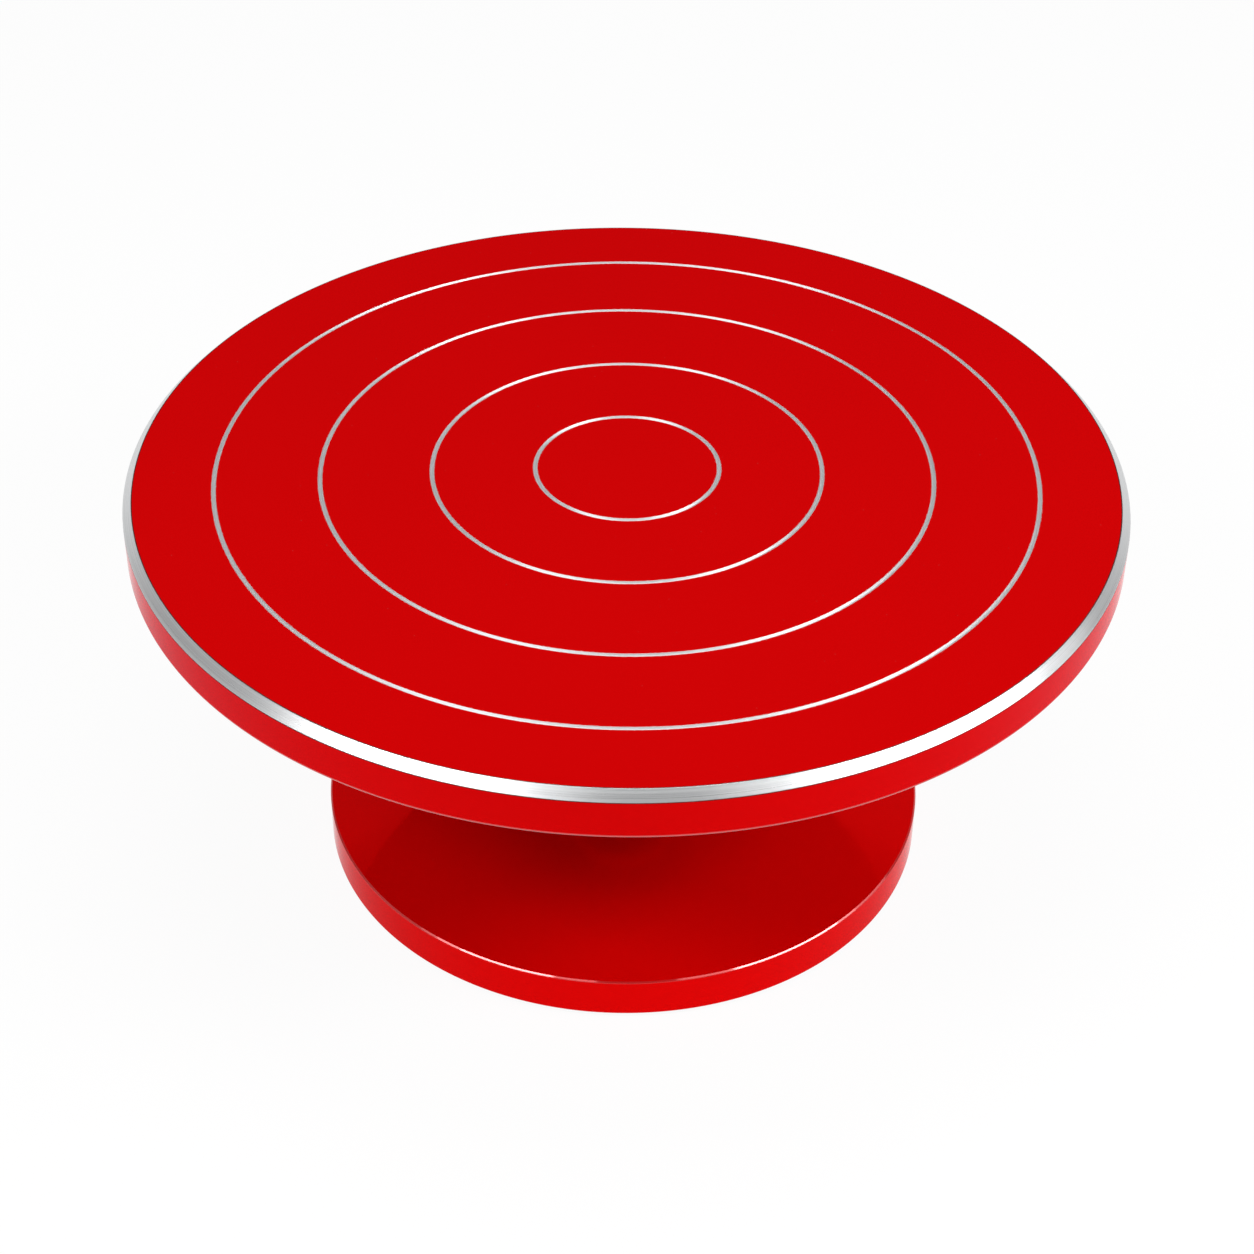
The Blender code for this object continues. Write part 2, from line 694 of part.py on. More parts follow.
def build_base_fittings(axis):
    """The ring that holds the lower bearing, the bottom cap with its screws, and the feet."""
    outer = SEAT_RADIUS + HOUSING_GROOVE_DEPTH - GAP
    inner = outer - HOUSING_CLIP_WIDTH
    build_retaining_ring(
        "housing_circlip", outer, inner, inner, HOUSING_CLIP_TOP, HOUSING_CLIP_THICKNESS, axis
    )
    build_bottom_cap(axis)
    build_cap_screws(axis)
    foot_corners = square((0, FOOT_HEIGHT), (FOOT_RADIUS, FOOT_HEIGHT))
    foot_corners += [(FOOT_RADIUS, 0, FOOT_EDGE_RADIUS), (0, 0, 0)]
    foot = turned("rubber_foot", foot_corners, SMALL_SIDES, HELPERS)
    copies("rubber_foot", foot, foot_places(), "foot_rubber", axis)


def build_bottom_cap(axis):
    """The pressed cap that closes the neck from below."""
    bottom = CAP_TOP - CAP_THICKNESS
    dish = CAP_DISH_RADIUS - CAP_DISH_SLOPE
    corners = square(
        (0, CAP_TOP - CAP_DISH_DEPTH),
        (dish, CAP_TOP - CAP_DISH_DEPTH),
        (CAP_DISH_RADIUS, CAP_TOP),
        (CAP_RADIUS, CAP_TOP),
        (CAP_RADIUS, bottom),
        (CAP_DISH_RADIUS, bottom),
        (dish, bottom - CAP_DISH_DEPTH),
        (0, bottom - CAP_DISH_DEPTH),
    )
    cap = turned("bottom_cap", corners, MEDIUM_SIDES, PARTS)
    combined(cap, cap_screw_holes("cap_holes"), "DIFFERENCE")
    dressed(cap, "zinc_plate", axis)


def build_cap_screws(axis):
    """The pan-head socket screws that hold the bottom cap."""
    top = BOSS_BOTTOM + CAP_SCREW_REACH
    head_top = CAP_TOP - CAP_THICKNESS - GAP
    head_bottom = head_top - CAP_SCREW_HEAD_HEIGHT
    corners = square(
        (0, top),
        (CAP_SCREW_RADIUS - CAP_SCREW_TIP, top),
        (CAP_SCREW_RADIUS, top - CAP_SCREW_TIP),
        (CAP_SCREW_RADIUS, head_top),
        (CAP_SCREW_HEAD_RADIUS, head_top),
    )
    corners += [(CAP_SCREW_HEAD_RADIUS, head_bottom, CAP_SCREW_HEAD_ROUNDING), (0, head_bottom, 0)]
    screw = turned("cap_screw", corners, SMALL_SIDES, HELPERS)
    socket = hex_socket("cap_screw_socket", CAP_SOCKET_RADIUS, CAP_SOCKET_DEPTH, head_bottom)
    combined(screw, socket, "DIFFERENCE")
    copies("cap_screw", screw, cap_screw_places(), "zinc_plate", axis)


clear_scene()
PARTS = new_collection("banding_wheel")
HELPERS = new_collection("cutters")
FINISH = {name: new_finish(name) for name in FINISHES}

base_axis = new_axis("base_axis")
wheel_axis = new_axis("wheel_axis")
build_base(base_axis)
build_base_fittings(base_axis)
build_bearing("upper_bearing", UPPER_BEARING_HEIGHT, wheel_axis, base_axis)
build_bearing("lower_bearing", LOWER_BEARING_HEIGHT, wheel_axis, base_axis)
build_spindle_fittings(wheel_axis)
build_spindle(wheel_axis)
build_flange_screws(wheel_axis)
build_head(wheel_axis)
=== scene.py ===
"""Looks of the banding wheel: enamelled castings, bearings and fittings, in a studio."""

from __future__ import annotations

import logging
import math
from dataclasses import dataclass, field, replace
from enum import Enum, IntEnum
from typing import Any, Callable, Iterable, Iterator, Sequence

import bmesh
import bpy
from bmesh.types import BMesh, BMVert
from bpy.types import Material, Node, NodeOutputs, NodeSocket, NodeTree, Object
from mathutils import Matrix, Vector

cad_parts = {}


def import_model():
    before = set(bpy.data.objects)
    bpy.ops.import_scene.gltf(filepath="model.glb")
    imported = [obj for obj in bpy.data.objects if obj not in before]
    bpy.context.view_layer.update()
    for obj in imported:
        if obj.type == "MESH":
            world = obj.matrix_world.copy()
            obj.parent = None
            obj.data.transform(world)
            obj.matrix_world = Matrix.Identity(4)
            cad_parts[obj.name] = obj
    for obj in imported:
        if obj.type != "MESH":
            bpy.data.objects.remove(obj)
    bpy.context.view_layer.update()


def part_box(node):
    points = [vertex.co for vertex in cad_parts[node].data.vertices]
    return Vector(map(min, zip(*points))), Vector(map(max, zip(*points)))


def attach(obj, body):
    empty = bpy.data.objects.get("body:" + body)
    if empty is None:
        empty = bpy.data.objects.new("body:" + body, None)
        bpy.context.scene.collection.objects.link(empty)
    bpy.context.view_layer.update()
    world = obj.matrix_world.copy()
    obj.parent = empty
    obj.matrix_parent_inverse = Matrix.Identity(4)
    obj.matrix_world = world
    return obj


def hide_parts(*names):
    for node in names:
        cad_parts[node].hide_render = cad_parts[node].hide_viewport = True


MM = 0.001
GAP = 0.3 * MM  # between pieces that seat on each other
WELD = 0.001 * MM

# Roundness of the turned pieces
LARGE_SIDES = 256
MEDIUM_SIDES = 96
SMALL_SIDES = 40
ARC_STEP = math.radians(9)
FEWEST_ARC_STEPS = 3
SHARP_ANGLE = math.radians(30)
HOLD = 1.3  # how far past an arc the holding point sits, against the arc's own reach

WEAR = "edge_wear"  # attribute: 1 on an edge where the enamel is thin, 0 away from it
ROUND_THE_AXIS = 0.25  # turn of an anisotropic reflection that follows turning marks

Colour = tuple[float, float, float]
Span = tuple[float, float]
Inputs = dict[str | int, Any]
Wiring = Callable[..., tuple[NodeSocket, ...]]
log = logging.getLogger("banding_wheel")


class Body(Enum):
    """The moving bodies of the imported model."""

    BASE = "base"
    WHEEL = "wheel"
    UPPER_BALLS = "upper_ball_set"
    LOWER_BALLS = "lower_ball_set"


class Skin(IntEnum):
    """Which of a casting's finishes a face has, by material slot."""

    GLOSS = 0
    BARE = 1
    # faces that look down, under the head and in the base's hollow: dark, painted shade over the
    # real cast grain
    CAST = 2
    SCORED = 3
    # narrow edges: a strongly reflecting copy of the red paint that boosts the lamps' highlights,
    # painted highlight
    BOOSTED_HIGHLIGHT = 4
    # the nicks along the chamfer's edges: near-black, painted shade
    NICK_SHADE = 5
    # the base's outside: a copy of the red paint retuned for the light under the head, painted
    # light
    BASE_PAINTED_LIGHT = 6
    # the head's top face: a darker copy of the red paint, painted light
    TOP_PAINTED_LIGHT = 7


class Grain(Enum):
    """The surface patterns that finishes share, one node group each."""

    PEEL = "enamel_peel"
    LATHE = "lathe_marks"
    CAST = "cast_grain"
    PLATED = "plated_sheet"
    MOULDED = "moulded_skin"


class Joining(Enum):
    """How a tool shape is put together with a body."""

    CUT = "DIFFERENCE"
    JOIN = "UNION"


class NodeSheet:
    """Adds nodes to a node tree, with their inputs set or linked as they are made."""

    def __init__(self, tree: NodeTree) -> None:
        """Works on one tree."""
        self.tree = tree

    def feed(self, socket: NodeSocket, value: Any) -> None:
        """Links or sets an input.

        Args:
            socket: The input.
            value: An output to link to it, or a value to set on it.
        """
        if isinstance(value, NodeSocket):
            self.tree.links.new(value, socket)
        else:
            socket.default_value = value

    def add(self, kind: str, inputs: Inputs | None = None, **settings: Any) -> Node:
        """Adds a node.

        Args:
            kind: The node's type name.
            inputs: Values or outputs, by the name or number of the input that they go to.
            settings: The node's own properties.

        Returns:
            The new node.
        """
        node = self.tree.nodes.new(kind)
        for key, setting in settings.items():
            setattr(node, key, setting)
        for key, value in (inputs or {}).items():
            self.feed(node.inputs[key], value)
        return node

    def group(self, tree: NodeTree, inputs: Inputs) -> NodeOutputs:
        """The outputs of a node group with the given inputs."""
        return self.add("ShaderNodeGroup", inputs, node_tree=tree).outputs

    def math(self, operation: str, *values: NodeSocket | float) -> NodeSocket:
        """The result of a Math node on the given values."""
        return self.add("ShaderNodeMath", dict(enumerate(values)), operation=operation).outputs[0]

    def weighed(self, first: NodeSocket, second: NodeSocket, share: float) -> NodeSocket:
        """A share of one value with the rest of another."""
        rest = self.math("MULTIPLY", second, 1 - share)
        return self.math("MULTIPLY_ADD", first, share, rest)

    def place(self) -> NodeSocket:
        """The piece's own Object coordinates."""
        return self.add("ShaderNodeTexCoord").outputs["Object"]

    def axes(self, vector: NodeSocket) -> NodeOutputs:
        """The three parts of a vector."""
        return self.add("ShaderNodeSeparateXYZ", {0: vector}).outputs

    def scale(self, size: NodeSocket, times: float = 1) -> NodeSocket:
        """The texture scale of a pattern of some size, or of one so many times as fine."""
        return self.math("DIVIDE", times, size)

    def noise(self, place: NodeSocket, scale: NodeSocket | float, detail: float) -> NodeSocket:
        """The value of a Noise texture at a place."""
        inputs = {"Vector": place, "Scale": scale, "Detail": detail}
        return self.add("ShaderNodeTexNoise", inputs).outputs[0]

    def cells(self, place: NodeSocket, scale: NodeSocket) -> NodeOutputs:
        """The distances and colours of a Voronoi texture at a place."""
        return self.add("ShaderNodeTexVoronoi", {"Vector": place, "Scale": scale}).outputs

    def blend(self, share: NodeSocket, low: Any, high: Any) -> NodeSocket:
        """A colour between low and high.

        Args:
            share: How much of high there is, from 0 to 1.
            low: A colour or colour output.
            high: A colour or colour output.

        Returns:
            The mixed colour.
        """
        mix = self.add("ShaderNodeMix", data_type="RGBA")
        sockets = {socket.identifier: socket for socket in mix.inputs}
        self.feed(sockets["Factor_Float"], share)
        for end, colour in (("A_Color", low), ("B_Color", high)):
            self.feed(sockets[end], colour if isinstance(colour, NodeSocket) else (*colour, 1))
        return next(socket for socket in mix.outputs if socket.identifier == "Result_Color")

    def ranged(self, value: NodeSocket, low: float, high: float, span: Span = (0, 1)) -> NodeSocket:
        """A value mapped from a span to low..high, and held at both ends.

        Args:
            value: The value to map.
            low: Result at the span's start.
            high: Result at the span's end.
            span: Where the value's range begins and ends.

        Returns:
            The mapped value.
        """
        ends = {"From Min": span[0], "From Max": span[1], "To Min": low, "To Max": high}
        return self.add("ShaderNodeMapRange", {"Value": value, **ends}).outputs[0]


class GroupMaker:
    """Builds the node groups that the finishes share, each of them once."""

    SIZE = "Size"
    EDGE = "Edge"
    TONE = "Tone"
    HEIGHT = "Height"
    MASK = "Mask"

    # Scales of the slower or finer parts of a pattern, against its size
    PEEL_DRIFT = 0.08
    FINE_MARKS = 2.3
    WIDE_MARKS = 0.6
    CAST_CLOUDS = 0.2
    PLATED_CLOUDS = 0.3
    PLATED_SKIN = 3
    MOULDED_CLOUDS = 0.15

    # Shares of one part of a pattern in its tone
    FINE_SHARE = 0.6
    CRYSTAL_SHARE = 0.35

    # Spans over which a mask or a tone goes from one end to the other
    NOISE_MIDDLE = 0.5
    MARK_SPAN = (0.34, 0.62)
    CHIP_SPAN = (0.72, 0.82)
    SPECK_SPAN = (0.03, 0.06)
    CHOICE_SPAN = (0.8, 0.95)
    UPWARD_SPAN = (0.3, 0.9)

    def shared(self, name: str, ins: Sequence[str], outs: Sequence[str], wire: Wiring) -> NodeTree:
        """A group, wired when it is first asked for.

        Args:
            name: The group's name.
            ins: Names of its inputs.
            outs: Names of its outputs.
            wire: Takes a sheet and the inputs, adds the nodes and gives what each output gets.

        Returns:
            The group's tree.
        """
        found = bpy.data.node_groups.get(name)
        if found:
            return found
        tree = bpy.data.node_groups.new(name, "ShaderNodeTree")
        for side, sockets in (("INPUT", ins), ("OUTPUT", outs)):
            for socket in sockets:
                tree.interface.new_socket(socket, in_out=side, socket_type="NodeSocketFloat")
        sheet = NodeSheet(tree)
        given = sheet.add("NodeGroupInput").outputs
        results = wire(sheet, *(given[socket] for socket in ins))
        sheet.add("NodeGroupOutput", dict(zip(outs, results)))
        return tree

    def pattern(self, grain: Grain) -> NodeTree:
        """The group of a surface pattern: its tone, and its height for a bump.

        Args:
            grain: Which pattern.

        Returns:
            The group's tree.
        """
        makers = {
            Grain.PEEL: self._peel,
            Grain.LATHE: self._lathe,
            Grain.CAST: self._cast,
            Grain.PLATED: self._plated,
            Grain.MOULDED: self._moulded,
        }
        return self.shared(grain.value, (self.SIZE,), (self.TONE, self.HEIGHT), makers[grain])

    def chips(self) -> NodeTree:
        """The group that says where an edge has lost its enamel."""
        return self.shared("thin_enamel", (self.EDGE, self.SIZE), (self.MASK,), self._chips)

    def dust(self) -> NodeTree:
        """The group that scatters fine specks over what faces up."""
        return self.shared("settled_dust", (self.SIZE,), (self.MASK,), self._dust)

    def _peel(self, sheet: NodeSheet, size: NodeSocket) -> tuple[NodeSocket, NodeSocket]:
        """Sprayed enamel: a slow drift of tone, and low waves.

        Args:
            sheet: The group's nodes.
            size: Size of the waves.

        Returns:
            The tone and the height.
        """
        place = sheet.place()
        drift = sheet.noise(place, sheet.scale(size, self.PEEL_DRIFT), detail=3)
        return drift, sheet.noise(place, sheet.scale(size), detail=1)

    def _lathe(self, sheet: NodeSheet, size: NodeSocket) -> tuple[NodeSocket, NodeSocket]:
        """Tool marks that run round the turning axis, and change slowly along it.

        Args:
            sheet: The group's nodes.
            size: Distance between marks.

        Returns:
            The tone and the height.
        """
        x, y, z = sheet.axes(sheet.place())
        flat = sheet.add("ShaderNodeCombineXYZ", {0: x, 1: y}).outputs[0]
        radius = sheet.add("ShaderNodeVectorMath", {0: flat}, operation="LENGTH").outputs["Value"]
        across = sheet.math("DIVIDE", sheet.math("SUBTRACT", radius, z), size)
        bearing = sheet.add("ShaderNodeVectorMath", {0: flat}, operation="NORMALIZE").outputs[0]
        round_x, round_y, _ = sheet.axes(bearing)
        lines = {0: across, 1: round_x, 2: round_y}
        marks = sheet.add("ShaderNodeCombineXYZ", lines).outputs[0]
        fine = sheet.noise(marks, self.FINE_MARKS, detail=3)
        wide = sheet.noise(marks, self.WIDE_MARKS, detail=2)
        bands = sheet.weighed(fine, wide, self.FINE_SHARE)
        return sheet.ranged(bands, 0, 1, self.MARK_SPAN), fine

    def _cast(self, sheet: NodeSheet, size: NodeSocket) -> tuple[NodeSocket, NodeSocket]:
        """The skin of a sand casting under thin paint.

        Args:
            sheet: The group's nodes.
            size: Size of the lumps.

        Returns:
            The tone and the height.
        """
        place = sheet.place()
        clouds = sheet.noise(place, sheet.scale(size, self.CAST_CLOUDS), detail=4)
        return clouds, sheet.noise(place, sheet.scale(size), detail=6)

    def _plated(self, sheet: NodeSheet, size: NodeSocket) -> tuple[NodeSocket, NodeSocket]:
        """Plated metal: faint crystals in the tone, and a fine skin.

        Args:
            sheet: The group's nodes.
            size: Size of the crystals.

        Returns:
            The tone and the height.
        """
        place = sheet.place()
        crystal = sheet.axes(sheet.cells(place, sheet.scale(size))["Color"])[0]
        cloud = sheet.noise(place, sheet.scale(size, self.PLATED_CLOUDS), detail=3)
        skin = sheet.noise(place, sheet.scale(size, self.PLATED_SKIN), detail=4)
        return sheet.weighed(crystal, cloud, self.CRYSTAL_SHARE), skin

    def _moulded(self, sheet: NodeSheet, size: NodeSocket) -> tuple[NodeSocket, NodeSocket]:
        """The spark-eroded texture of a moulded piece.

        Args:
            sheet: The group's nodes.
            size: Size of the pits.

        Returns:
            The tone and the height.
        """
        place = sheet.place()
        pits = sheet.cells(place, sheet.scale(size))["Distance"]
        return sheet.noise(place, sheet.scale(size, self.MOULDED_CLOUDS), detail=4), pits

    def _chips(self, sheet: NodeSheet, edge: NodeSocket, size: NodeSocket) -> tuple[NodeSocket]:
        """Ragged bits along a worn edge.

        Args:
            sheet: The group's nodes.
            edge: 1 on the edge, 0 away from it.
            size: Size of the bits.

        Returns:
            1 where the metal is bare.
        """
        noise = sheet.noise(sheet.place(), sheet.scale(size), detail=3)
        level = sheet.math("ADD", edge, sheet.math("SUBTRACT", noise, self.NOISE_MIDDLE))
        return (sheet.ranged(level, 0, 1, self.CHIP_SPAN),)

    def _dust(self, sheet: NodeSheet, size: NodeSocket) -> tuple[NodeSocket]:
        """Specks in some of the cells of a pattern.

        Args:
            sheet: The group's nodes.
            size: Distance between specks.

        Returns:
            1 on a speck.
        """
        cells = sheet.cells(sheet.place(), sheet.scale(size))
        speck = sheet.ranged(cells["Distance"], 1, 0, self.SPECK_SPAN)
        chosen = sheet.ranged(sheet.axes(cells["Color"])[1], 0, 1, self.CHOICE_SPAN)
        normal = sheet.add("ShaderNodeNewGeometry").outputs["Normal"]
        upward = sheet.ranged(sheet.axes(normal)[2], 0, 1, self.UPWARD_SPAN)
        return (sheet.math("MULTIPLY", sheet.math("MULTIPLY", speck, chosen), upward),)


GROUPS = GroupMaker()


@dataclass(frozen=True)
class Finish:
    """A finish: its colour and gloss, and the pattern that varies them.

    Attributes:
        name: The material's name.
        slot: The record's slot that a piece in this finish takes. It is not used.
        colour: Base colour, linear.
        grain: The surface pattern.
        grain_size: Size of the pattern, in metres.
        relief: Height of the pattern, in metres.
        roughness: Middle roughness.
        spread: How far the roughness goes either way over the pattern.
        shade: The colour's share that is left where the pattern is darkest.
        metallic: 1 for bare metal.
        anisotropy: How much turning marks stretch a reflection.
        ior: Index of refraction.
        edge_tint: Colour of a reflection seen at a slant.
    """

    name: str
    slot: str
    colour: Colour
    grain: Grain
    grain_size: float
    relief: float
    roughness: float
    spread: float = 0.05
    shade: float = 0.85
    metallic: float = 0.0
    anisotropy: float = 0.0
    ior: float = 1.5
    edge_tint: Colour = (1.0, 1.0, 1.0)

    def material(self) -> Material:
        """The finish as a material, made once.

        Returns:
            The material.
        """
        found = bpy.data.materials.get(self.name)
        if found:
            return found
        made = bpy.data.materials.new(self.name)
        made.use_nodes = True
        sheet = NodeSheet(made.node_tree)
        shader = made.node_tree.nodes["Principled BSDF"]
        pattern = sheet.group(GROUPS.pattern(self.grain), {GROUPS.SIZE: self.grain_size})
        tone = pattern[GROUPS.TONE]
        colour = sheet.blend(tone, [self.shade * part for part in self.colour], self.colour)
        gloss = sheet.ranged(tone, self.roughness - self.spread, self.roughness + self.spread)
        bump = {"Height": pattern[GROUPS.HEIGHT], "Distance": self.relief}
        fixed = {
            "Metallic": self.metallic,
            "IOR": self.ior,
            "Specular Tint": (*self.edge_tint, 1),
            "Anisotropic": self.anisotropy,
            "Anisotropic Rotation": ROUND_THE_AXIS,
            "Normal": sheet.add("ShaderNodeBump", bump).outputs[0],
        }
        for socket, value in fixed.items():
            sheet.feed(shader.inputs[socket], value)
        self.weather(sheet, shader, colour, gloss)
        return made

    def weather(
        self, sheet: NodeSheet, shader: Node, colour: NodeSocket, gloss: NodeSocket
    ) -> None:
        """Links the colour and gloss to the shader.

        Args:
            sheet: The material's nodes.
            shader: The Principled shader.
            colour: The varied base colour.
            gloss: The varied roughness.
        """
        sheet.feed(shader.inputs["Base Color"], colour)
        sheet.feed(shader.inputs["Roughness"], gloss)


@dataclass(frozen=True)
class Enamel(Finish):
    """Enamel over a casting: dust settles on it, and bare metal shows where an edge is worn.

    Attributes:
        metal: Linear colour of the metal under the enamel.
        metal_roughness: Roughness of that metal.
        chip_size: Size of the ragged bits along a worn edge, in metres.
        dust_colour: Linear colour of a speck.
        dust_spacing: Distance between specks, in metres.
        dust_share: How much of a speck's colour shows.
    """

    metal: Colour = (0.72, 0.73, 0.74)
    metal_roughness: float = 0.35
    chip_size: float = 0.9 * MM
    dust_colour: Colour = (0.75, 0.45, 0.42)
    dust_spacing: float = 3 * MM
    dust_share: float = 0.12

    def weather(
        self, sheet: NodeSheet, shader: Node, colour: NodeSocket, gloss: NodeSocket
    ) -> None:
        """Adds dust and worn edges to the colour and gloss, and links them to the shader.

        Args:
            sheet: The material's nodes.
            shader: The Principled shader.
            colour: The varied base colour.
            gloss: The varied roughness.
        """
        dust = sheet.group(GROUPS.dust(), {GROUPS.SIZE: self.dust_spacing})[GROUPS.MASK]
        dusty = sheet.blend(sheet.math("MULTIPLY", dust, self.dust_share), colour, self.dust_colour)
        edge = sheet.add("ShaderNodeAttribute", attribute_name=WEAR).outputs["Fac"]
        chips = sheet.group(GROUPS.chips(), {GROUPS.EDGE: edge, GROUPS.SIZE: self.chip_size})
        bare = chips[GROUPS.MASK]
        worn = sheet.blend(bare, dusty, self.metal)
        dulled = sheet.math("MULTIPLY_ADD", dust, self.dust_share, gloss)
        rough = sheet.math("MAXIMUM", dulled, sheet.math("MULTIPLY", bare, self.metal_roughness))
        sheet.feed(shader.inputs["Metallic"], sheet.math("MAXIMUM", bare, self.metallic))
        super().weather(sheet, shader, worn, rough)


# The red paint as the rim's side has it. The copies in FinishSet for the top face, the base and the
# narrow edges differ from it in colour and reflection as painted light.
RIM_ENAMEL = Enamel(
    "gloss_red_enamel", "red_enamel", (0.65, 0.001, 0.0015), Grain.PEEL,
    grain_size=5 * MM, relief=0.02 * MM,
    roughness=0.10, spread=0.03, shade=0.95, metallic=0.28, ior=1.06, edge_tint=(1.0, 0.74, 0.84),
)


@dataclass(frozen=True)
class FinishSet:
    """Every finish on the banding wheel."""

    enamel: Finish = RIM_ENAMEL
    # Partly painted highlight: the narrow edge faces of the head's rim and the base take a copy of
    # the red paint that reflects far more strongly (IOR 1.9, untinted). This makes the real
    # highlights of the lamps on them show white.
    enamel_boosted_highlight: Finish = replace(
        RIM_ENAMEL, name="red_enamel_boosted_highlight", colour=(0.61, 0.001, 0.0015), grain_size=6 * MM,
        relief=0.05 * MM, roughness=0.08, ior=1.9, edge_tint=(1.0, 1.0, 1.0),
    )
    # Painted light: the base's outside takes a copy of the same red paint with its own colour,
    # gloss and reflection tint. These are set to match the light and shade that fall on it under
    # the head.
    base_enamel_painted_light: Finish = replace(
        RIM_ENAMEL, name="base_red_enamel_painted_light", colour=(0.75, 0.0008, 0.001), roughness=0.07,
        metallic=0.32, edge_tint=(1.0, 0.66, 0.68),
    )
    # Painted light: a copy of the rim's red paint for the head's top face. It is darker, with
    # weaker and redder reflections, to stand in for the stronger light that falls on the top.
    top_enamel_painted_light: Finish = replace(
        RIM_ENAMEL, name="top_red_enamel_painted_light", colour=(0.61, 0.001, 0.0015), ior=1.03,
        edge_tint=(1.0, 0.5, 0.53),
    )
    # Painted shade: the faces of the small nicks along the chamfer's edges take a near-black red,
    # so the nicks show as thin dark lines.
    nick_enamel_painted_shade: Finish = Finish(
        "nick_enamel_painted_shade_edge", "red_enamel", (0.09, 0.004, 0.004), Grain.PEEL,
        grain_size=3 * MM, relief=0.01 * MM,
        roughness=0.5, spread=0.1, shade=0.6, ior=1.3,
    )
    # Partly real, partly painted shade: the cast grain is the casting's own, while the dark red is
    # painted shade on the faces that look down, under the head and in the base's hollow. It also
    # darkens the base's top by sending less light onto it.
    cast_enamel_painted_shade: Finish = Enamel(
        "cast_red_enamel_painted_shade", "red_enamel", (0.20, 0.002, 0.003), Grain.CAST,
        grain_size=1.6 * MM, relief=0.12 * MM,
        roughness=0.36, spread=0.08, shade=0.8, ior=1.35,
    )
    turned_metal: Finish = Finish(
        "bare_turned_aluminium", "red_enamel", (0.84, 0.85, 0.86), Grain.LATHE,
        grain_size=0.3 * MM, relief=0.005 * MM,
        roughness=0.32, spread=0.06, shade=0.78, metallic=1, anisotropy=0.75,
    )
    scored_metal: Finish = Finish(
        "scored_aluminium", "red_enamel", (0.85, 0.85, 0.86), Grain.LATHE,
        grain_size=0.3 * MM, relief=0.01 * MM,
        roughness=0.52, spread=0.08, shade=0.82, metallic=0.85, anisotropy=0.7,
    )
    ground_steel: Finish = Finish(
        "round_ground_steel", "ground_steel", (0.50, 0.50, 0.51), Grain.LATHE,
        grain_size=0.3 * MM, relief=0.004 * MM,
        roughness=0.24, spread=0.05, shade=0.84, metallic=1, anisotropy=0.6,
    )
    bearing_steel: Finish = Finish(
        "lapped_bearing_steel", "bearing_steel", (0.58, 0.58, 0.60), Grain.LATHE,
        grain_size=0.25 * MM, relief=0.001 * MM,
        roughness=0.12, spread=0.03, shade=0.92, metallic=1, anisotropy=0.3,
    )
    spring_steel: Finish = Finish(
        "oiled_spring_steel", "spring_steel", (0.05, 0.05, 0.055), Grain.PLATED,
        grain_size=0.8 * MM, relief=0.005 * MM,
        roughness=0.38, spread=0.08, shade=0.7, metallic=0.8,
    )
    black_screw: Finish = Finish(
        "black_oxide_steel", "black_screw", (0.035, 0.035, 0.038), Grain.PLATED,
        grain_size=0.6 * MM, relief=0.006 * MM,
        roughness=0.44, spread=0.08, shade=0.7, metallic=0.7,
    )
    zinc: Finish = Finish(
        "bright_zinc_plate", "zinc_plate", (0.58, 0.59, 0.61), Grain.PLATED,
        grain_size=2.2 * MM, relief=0.004 * MM,
        roughness=0.34, spread=0.08, shade=0.78, metallic=1,
    )
    nylon: Finish = Finish(
        "moulded_cage_nylon", "cage_nylon", (0.56, 0.48, 0.34), Grain.MOULDED,
        grain_size=0.5 * MM, relief=0.01 * MM,
        roughness=0.52, spread=0.08, shade=0.86,
    )
    rubber: Finish = Finish(
        "moulded_foot_rubber", "foot_rubber", (0.014, 0.014, 0.015), Grain.MOULDED,
        grain_size=0.6 * MM, relief=0.03 * MM,
        roughness=0.78, spread=0.1, shade=0.6,
    )

    def casting(self) -> tuple[Finish, ...]:
        """The finishes of a casting, in the order of Skin.

        Returns:
            The finishes.
        """
        outside = (self.enamel, self.turned_metal, self.cast_enamel_painted_shade)
        details = (self.scored_metal, self.enamel_boosted_highlight, self.nick_enamel_painted_shade)
        return (*outside, *details, self.base_enamel_painted_light, self.top_enamel_painted_light)


@dataclass(frozen=True)
class Corner:
    """A corner of a turned outline: its place, and the radius that rounds it, in metres."""

    radius: float
    height: float
    rounding: float = 0.0


def round_off(shape: BMesh, point: BMVert, rounding: float) -> None:
    """Rounds a corner of a wire outline.

    A holding point just past each end of the arc keeps the shading of the flats beside it flat.

    Args:
        shape: The outline.
        point: The corner.
        rounding: Radius of the arc.
    """
    back, ahead = (edge.other_vert(point).co - point.co for edge in point.link_edges)
    inside = back.angle(ahead)
    reach = rounding / math.tan(inside / 2)
    for edge in list(point.link_edges):
        share = HOLD * reach / edge.calc_length()
        if share < 1:
            bmesh.utils.edge_split(edge, point, share)
    steps = max(FEWEST_ARC_STEPS, round((math.pi - inside) / ARC_STEP))
    bmesh.ops.bevel(
        shape, geom=[point], offset=reach, offset_type="OFFSET", segments=steps, profile=0.5,
        affect="VERTICES", material=-1,
    )


